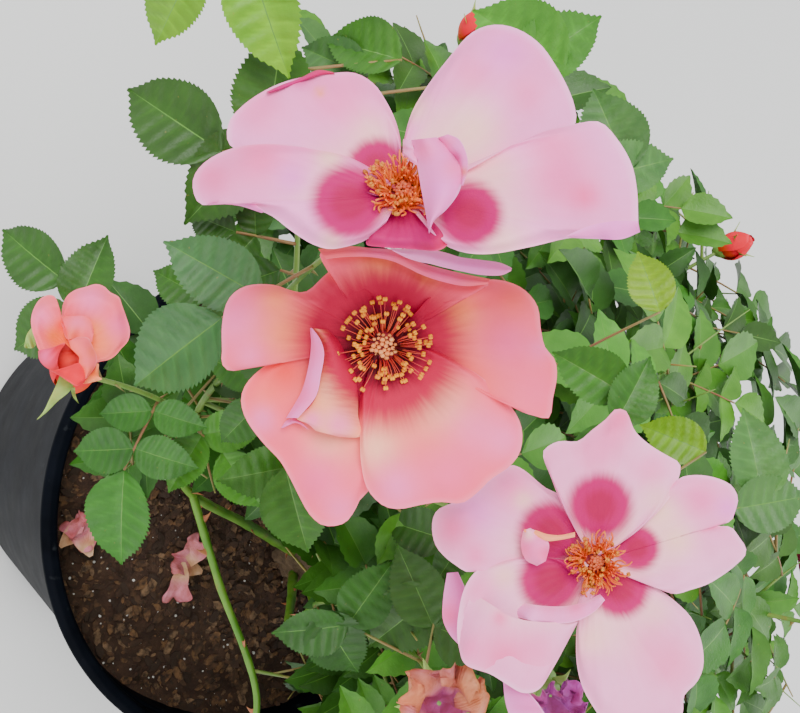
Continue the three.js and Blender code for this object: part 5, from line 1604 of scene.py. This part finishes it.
def leaflet_shape(rows, columns, variant):
    """A leaflet of unit length along X, with teeth, a fold, quilted veins and a sunken midrib."""
    t = np.linspace(0, 1, rows + 1)
    peak = LEAFLET_WIDEST ** BASE_ROUNDNESS * (1 - LEAFLET_WIDEST) ** TIP_SHARPNESS
    half = t ** BASE_ROUNDNESS * (1 - t) ** TIP_SHARPNESS / peak
    half = half * (1 - TIP_TAPER * smooth(0.75, 1, t)) * LEAFLET_WIDTH / 2 * varied(0.08, variant, 4)
    tooth = np.where(np.arange(rows + 1) % 2 == 1, 1.0, -1.0)
    fold = 0.1 + 0.2 * chance(variant, 1)
    droop = 0.04 + 0.2 * chance(variant, 2)
    sway = 0.12 * (chance(variant, 3) - 0.5)
    places = []
    lights = []
    for v in columns:
        size = abs(v)
        width = half * v
        forward = t
        if size == 1:
            width = width * (1 + TOOTH_DEPTH * tooth) + 0.003 * tooth
            forward = t + np.where(tooth > 0, 1, -0.15) * min(0.7 / rows, TOOTH_LENGTH)
        vein = 2 * math.pi * (VEINS * t - 2.6 * size * half)
        rise = fold * size * half * 2 - droop * t * t
        rise = rise + VEIN_HEIGHT * np.sin(vein) * np.sin(math.pi * min(size * 0.9 + 0.08, 1)) * (1 - t * t)
        rise = rise + RIPPLE * np.sin(variant * 2.1 + t * 9) * size * size * np.sin(math.pi * t)
        if size < 0.1:
            rise = rise - RIB_DEPTH
        places.append(np.column_stack([np.clip(forward, 0, 1), width + sway * t * t * 0.5, rise]))
        light = VEIN_LIGHT * (np.clip(-np.sin(vein), 0, 1) ** 3 - 0.25) * (1 - size ** 3)
        lights.append(1 + light + RIB_LIGHT * math.exp(-size * 7) - 0.06 * size)
    rib = np.tile(np.arange(len(columns) - 1) == len(columns) // 2 - 1, rows)
    faces = grid_faces(rows + 1, len(columns))
    return np.stack(places, axis=1).reshape(-1, 3), faces, rib, np.stack(lights, axis=1).reshape(-1)


def add_leaf(leaves, twigs, leaf, shapes, green, seed):
    """A pinnate leaf: its rachis goes to the twigs, and its leaflets to the leaves."""
    tube(twigs, leaf["route"].points(4), RACHIS_RADII, 5, slot=1)
    for i, leaflet in enumerate(leaf["leaflets"]):
        shape, faces, rib, lights = shapes[int(chance(seed, i, 21) * len(shapes))]
        x = leaflet["forward"]
        up = leaf["up"] + LEAFLET_TILT * (np.array([chance(seed, i, 22 + k) for k in range(3)]) - 0.5)
        y = unit(np.cross(up, x))
        axes = np.array([x, y, np.cross(x, y)]) * leaflet["size"]
        shade = lights * varied(LEAF_SHADES, seed, i, 27)
        warm = varied(0.12, seed, 28)
        tint = np.column_stack([shade * warm, shade, shade * (2 - warm)])
        slots = np.where(rib, len(GREENS), green)
        leaves.add(leaflet["base"] + shape @ axes, [faces], [slots], tint=tint)


# Pot, compost and limbs

def make_pot():
    collar_foot = POT_HEIGHT - COLLAR_HEIGHT
    collar = RIM_RADIUS - LIP_WIDTH
    wall_top = collar - COLLAR_STEP
    lip_foot = POT_HEIGHT - LIP_DEPTH
    profile = [(0.5, 0), (FOOT_RADIUS - 2.5, 0), (FOOT_RADIUS, 2.5), (wall_top, collar_foot),
               (collar, collar_foot + 1)]
    for line in (collar_foot + COLLAR_LINE_GAP, collar_foot + 2 * COLLAR_LINE_GAP):
        profile += [(collar, line - 0.5), (collar + 0.6, line), (collar, line + 0.5)]
    profile += [
        (collar, lip_foot), (RIM_RADIUS - 1, lip_foot), (RIM_RADIUS, lip_foot + 2),
        (RIM_RADIUS, POT_HEIGHT - 2.4), (RIM_RADIUS - 3, POT_HEIGHT), (collar - 1, POT_HEIGHT),
        (collar - WALL, POT_HEIGHT - 2), (collar - WALL, collar_foot - 1),
        (wall_top - WALL, collar_foot - 3), (FOOT_RADIUS - WALL, POT_FLOOR), (0.5, POT_FLOOR),
    ]
    heap = Heap()
    turned(heap, rounded(profile, 1.1), POT_SEGMENTS)
    heap.make("nursery_pot", ["pot_plastic"], "pot_plastic", ["pot"])


def inside_radius(height):
    wall_top = RIM_RADIUS - LIP_WIDTH - COLLAR_STEP
    share = (height - POT_FLOOR) / (POT_HEIGHT - COLLAR_HEIGHT - 3 - POT_FLOOR)
    return between((FOOT_RADIUS, wall_top), share) - WALL


def soil_height(places):
    """The soil's surface at places across the pot, with lumps of bark in it."""
    reach = np.linalg.norm(places, axis=1)
    height = SOIL_TOP - (SOIL_TOP - SOIL_EDGE) * smooth(SOIL_FLAT_RADIUS, SOIL_RADIUS, reach)
    lumps = 1.8 * lattice_noise(places, 5, 26) + 1.3 * lattice_noise(places, 6, 9)
    lumps = lumps + 0.9 * np.abs(lattice_noise(places, 7, 4.2)) + 0.5 * lattice_noise(places, 8, 2.1)
    return height - 0.6 + lumps


def make_soil():
    reaches = np.linspace(0.002, 1, SOIL_RINGS) * (SOIL_RADIUS + 4.2)
    top = np.concatenate([ring((0, 0, 0), reach, SOIL_SIDES) for reach in reaches])
    top[:, 2] = soil_height(top[:, :2])
    skirt = [ring((0, 0, level), inside_radius(level) - 0.4, SOIL_SIDES) for level in SKIRT_LEVELS]
    heap = Heap()
    heap.add(np.concatenate([top] + skirt), [grid_faces(SOIL_RINGS + len(skirt), SOIL_SIDES, closed=True)])
    heap.make("compost", ["compost"], "soil", ["soil"])


def make_crumbs():
    crumbs = Heap()
    colours = len(CRUMB_COLOURS)
    for i in range(CRUMB_COUNT):
        turn = 2 * math.pi * chance(i, 1)
        reach = (SOIL_RADIUS + 1) * math.sqrt(chance(i, 2))
        spot = vec([[reach * math.cos(turn), reach * math.sin(turn)]])
        along = unit(vec([math.cos(7 * turn), math.sin(5 * turn + i), 0.7 * chance(i, 5) - 0.2]))
        side = unit(np.cross(UP, along))
        if chance(i, 3) < GRIT_SHARE:
            size = 0.3 + 0.75 * chance(i, 4) ** 1.6
            radii = size * GRIT_SHAPE
            shade = colours
        else:
            size = 0.9 + 3.8 * chance(i, 4) ** 2.4
            radii = size * CRUMB_SHAPE
            shade = int(chance(i, 6) * colours)
        place = np.append(spot, soil_height(spot) + size * 0.12)
        axes = [along, side, np.cross(along, side)]
        add_lump(crumbs, place, axes, radii, slot=shade, rings=2, sides=6, seed=i, rough=0.28)
    finishes = ["crumb_%d" % k for k in range(colours)] + ["grit"]
    crumbs.make("bark_crumbs", finishes, "soil", ["soil"], smooth_faces=False)


def make_stem_base():
    angles = angles_round(KNUCKLE_SIDES)
    rings = []
    for height in np.linspace(KNUCKLE_LEVELS[0], 1, KNUCKLE_RINGS):
        width = np.interp(height, KNUCKLE_LEVELS, KNUCKLE_WIDTHS)
        swell = 1 + 0.09 * np.sin(3 * angles + 1) + 0.05 * np.sin(7 * angles + height * 5)
        swell += 0.03 * np.sin(17 * angles + 3 * np.sin(height * 9))
        swell += 0.02 * np.sin(31 * angles + height * 14)
        radius = KNUCKLE_RADIUS * width * swell * 0.98
        rings.append(ring((0, 0, height * KNUCKLE_HEIGHT), radius, KNUCKLE_SIDES))
    rings.append(ring((0, 0, KNUCKLE_HEIGHT * LUMP_TIP), POINT_RADIUS, KNUCKLE_SIDES))
    places = np.concatenate(rings) + KNUCKLE_PLACE
    heap = Heap()
    heap.add(places + 0.5 * shifts(places, 40, 5), [grid_faces(len(rings), KNUCKLE_SIDES, closed=True)])
    heap.make("graft_knuckle", ["old_bark"], "old_bark", ["stem_base"])


def add_prickle(heap, root, outward, down, size):
    """A hooked thorn with an oval foot."""
    rings = []
    for share in np.linspace(0, 1, PRICKLE_RINGS):
        middle = root + outward * size * share + down * size * 0.55 * share ** 2
        width = size * (0.14 * (1 - share) ** 1.2 + 0.012)
        rings.append(ring(middle, width, PRICKLE_SIDES, np.cross(outward, down), down, flat=3))
    heap.add(np.concatenate(rings), [grid_faces(PRICKLE_RINGS, PRICKLE_SIDES, closed=True)], slot=1)


def add_prickles(heap, route, seed, depths, spacing, last, steps, sizes):
    """Prickles along a route as far as its last share, turned by the golden angle."""
    for k in range(int(route.length / spacing)):
        share = (k + between(steps, chance(seed, k, 31))) * spacing / route.length
        if share > last:
            break
        along = route.tangent(share)
        outward = around(along, GOLDEN_ANGLE * k + seed, math.pi / 2)
        root = route.point(share) + outward * np.interp(share, (0, 1), depths)
        add_prickle(heap, root, outward, -along, between(sizes, chance(seed, k, 32)))


def make_limb(limb, seed):
    """A limb's bark, swollen at its nodes, and its prickles."""
    heap = Heap()
    route = limb["route"]
    steps = max(int(route.length / BARK_STEP), 20)

    def relief(i, angles):
        share = i / steps
        swell = 0.1 * sum(math.exp(-((share - node) * 60) ** 2) for node in LIMB_NODES)
        ridges = 0.03 * np.sin(angles * 3 + share * 14 + seed) + 0.02 * np.sin(angles * 7 + share * 40)
        return 1 + swell + ridges

    radii = vec(limb["radii"]) * vec(LIMB_SHARES)
    tube(heap, route.points(steps), radii, LIMB_SIDES, relief=relief)
    add_prickles(heap, route, seed, radii * 0.85, **LIMB_PRICKLES)
    heap.make(limb["node"] + "_bark", ["green_cane", "prickle"], "green_cane", [limb["node"]])


# The crown

def stalks_of(mass, stem, flowers):
    """The shoots from a stem to its flowers with a chosen place, and its arching shoots."""
    stalks = []
    for flower in flowers:
        if "bend" in flower:
            root = stem["route"].point(flower["share"])
            stalks.append(make_shoot(root, seen(flower["bend"]), flower["foot"], SHOOT_RADII))
    for arch in ARCHES:
        if arch["mass"] == mass["name"]:
            root = stem["route"].point(arch["share"])
            stalks.append(make_shoot(root, seen(arch["bend"]), seen(arch["end"]), SHOOT_RADII + SHOOT_TIP))
    return stalks


def grow(limbs):
    """Every mass's stem, shoots, twigs and flowers, and the room that leaves have round them."""
    skeletons = []
    for mass in MASSES:
        stem = make_stem(mass, limbs[mass["name"]])
        skeletons.append(dict(mass=mass, stem=stem, flowers=flowers_of(mass, stem)))
    flowers = [flower for skeleton in skeletons for flower in skeleton["flowers"]]
    room = Room(flowers)
    for index, skeleton in enumerate(skeletons):
        mass, stem = skeleton["mass"], skeleton["stem"]
        if "ends" not in mass and not any(flower.get("share") == 1 for flower in skeleton["flowers"]):
            stem["radii"] += SHOOT_TIP
        shoots = []
        for i in range(SHOOTS_PER_MASS):
            tries = (side_shoot(stem, index, i, SHOOT_LENGTH * length) for length in (1, 0.75, 0.5))
            shoots += itertools.islice((s for s in tries if room.takes_shoot(s["route"].points(8)[1:])), 1)
        twigs = twigs_of(limbs[mass["name"]], SPUR_PLACES, (index, 9, 6), room)
        for i, shoot in enumerate([stem] + shoots):
            twigs += twigs_of(shoot, TWIG_PLACES, (index, i, 5), room)
        skeleton.update(stalks=stalks_of(mass, stem, skeleton["flowers"]), shoots=shoots, twigs=twigs)
    return skeletons, flowers, room


def leaves_of(skeletons, room):
    """Leaves with a chosen place first, then one at each node that has room."""
    leaves = []
    spots = [shoot["route"].points(12)[1:] for skeleton in skeletons
             for shoot in [skeleton["stem"]] + skeleton["stalks"] + skeleton["shoots"]]
    spots = np.concatenate(spots)
    for end, tip, pairs, green, *shape in SEEN_LEAVES:
        place = seen(end)
        root = spots[np.argmin(np.linalg.norm(spots - place, axis=1))]
        leaf = compound_leaf(root, place, seen(tip), pairs, -FORWARD, *shape)
        room.take(leaf)
        leaves.append((leaf, green, True))
    for index, skeleton in enumerate(skeletons):
        grown = [skeleton["stem"]] + skeleton["shoots"] + skeleton["twigs"] + skeleton["stalks"]
        for i, shoot in enumerate(grown):
            spray = SPRAY_GREENS[int(chance(index, i, 51) * len(SPRAY_GREENS))]
            for node in range(max(int(shoot["route"].length / LEAF_SPACING), 2)):
                for turn in range(LEAF_TRIES):
                    leaf = grown_leaf(shoot, (index, i), node, turn / LEAF_TRIES)
                    if room.fits(leaf):
                        room.take(leaf)
                        leaves.append((leaf, spray, False))
                        break
    return leaves


def add_branches(twigs, skeleton):
    stem, stalks, shoots = [skeleton["stem"]], skeleton["stalks"], skeleton["shoots"]
    kinds = [(stem, 24, 9, SHOOT_SHARE, 0), (stalks + shoots, 16, 8, SHOOT_SHARE, 0),
             (skeleton["twigs"], 8, 6, 1, 2)]
    for branches, steps, sides, width_share, slot in kinds:
        for shoot in branches:
            tube(twigs, shoot["route"].points(steps), vec(shoot["radii"]) * width_share, sides, slot)
    for i, shoot in enumerate(stem + stalks + shoots):
        add_prickles(twigs, shoot["route"], i, (0.9, 0.9), **SHOOT_PRICKLES)


def make_foliage(skeletons, leaves, masses):
    twigs = Heap()
    for skeleton in skeletons:
        add_branches(twigs, skeleton)
    near_shapes = [leaflet_shape(NEAR_LEAF_ROWS, NEAR_LEAF_COLUMNS, k) for k in range(8)]
    far_shapes = [leaflet_shape(LEAF_ROWS, LEAF_COLUMNS, k) for k in range(12)]
    heaps = [Heap()]
    for i, (leaf, green, near) in enumerate(leaves):
        if heaps[-1].count > LEAF_PIECE_POINTS:
            heaps.append(Heap())
        add_leaf(heaps[-1], twigs, leaf, near_shapes if near else far_shapes, list(GREENS).index(green), i)
    finishes = ["leaf_" + green for green in GREENS] + ["leaf_rib"]
    for i, heap in enumerate(heaps, 1):
        heap.make("leaves_%d" % i, finishes, "foliage", masses)
    twigs.make("twigs", ["twig", "rachis", "young_twig"], "foliage", masses)


def build():
    make_finishes()
    add_camera()
    add_floor()
    add_studio()
    make_pot()
    make_soil()
    make_crumbs()
    make_stem_base()
    limbs = make_limbs()
    for seed, limb in enumerate(limbs.values()):
        make_limb(limb, seed)
    skeletons, flowers, room = grow(limbs)
    masses = ["foliage_" + mass["name"] for mass in MASSES]
    make_foliage(skeletons, leaves_of(skeletons, room), masses)
    make_blossom(flowers, masses)


build()
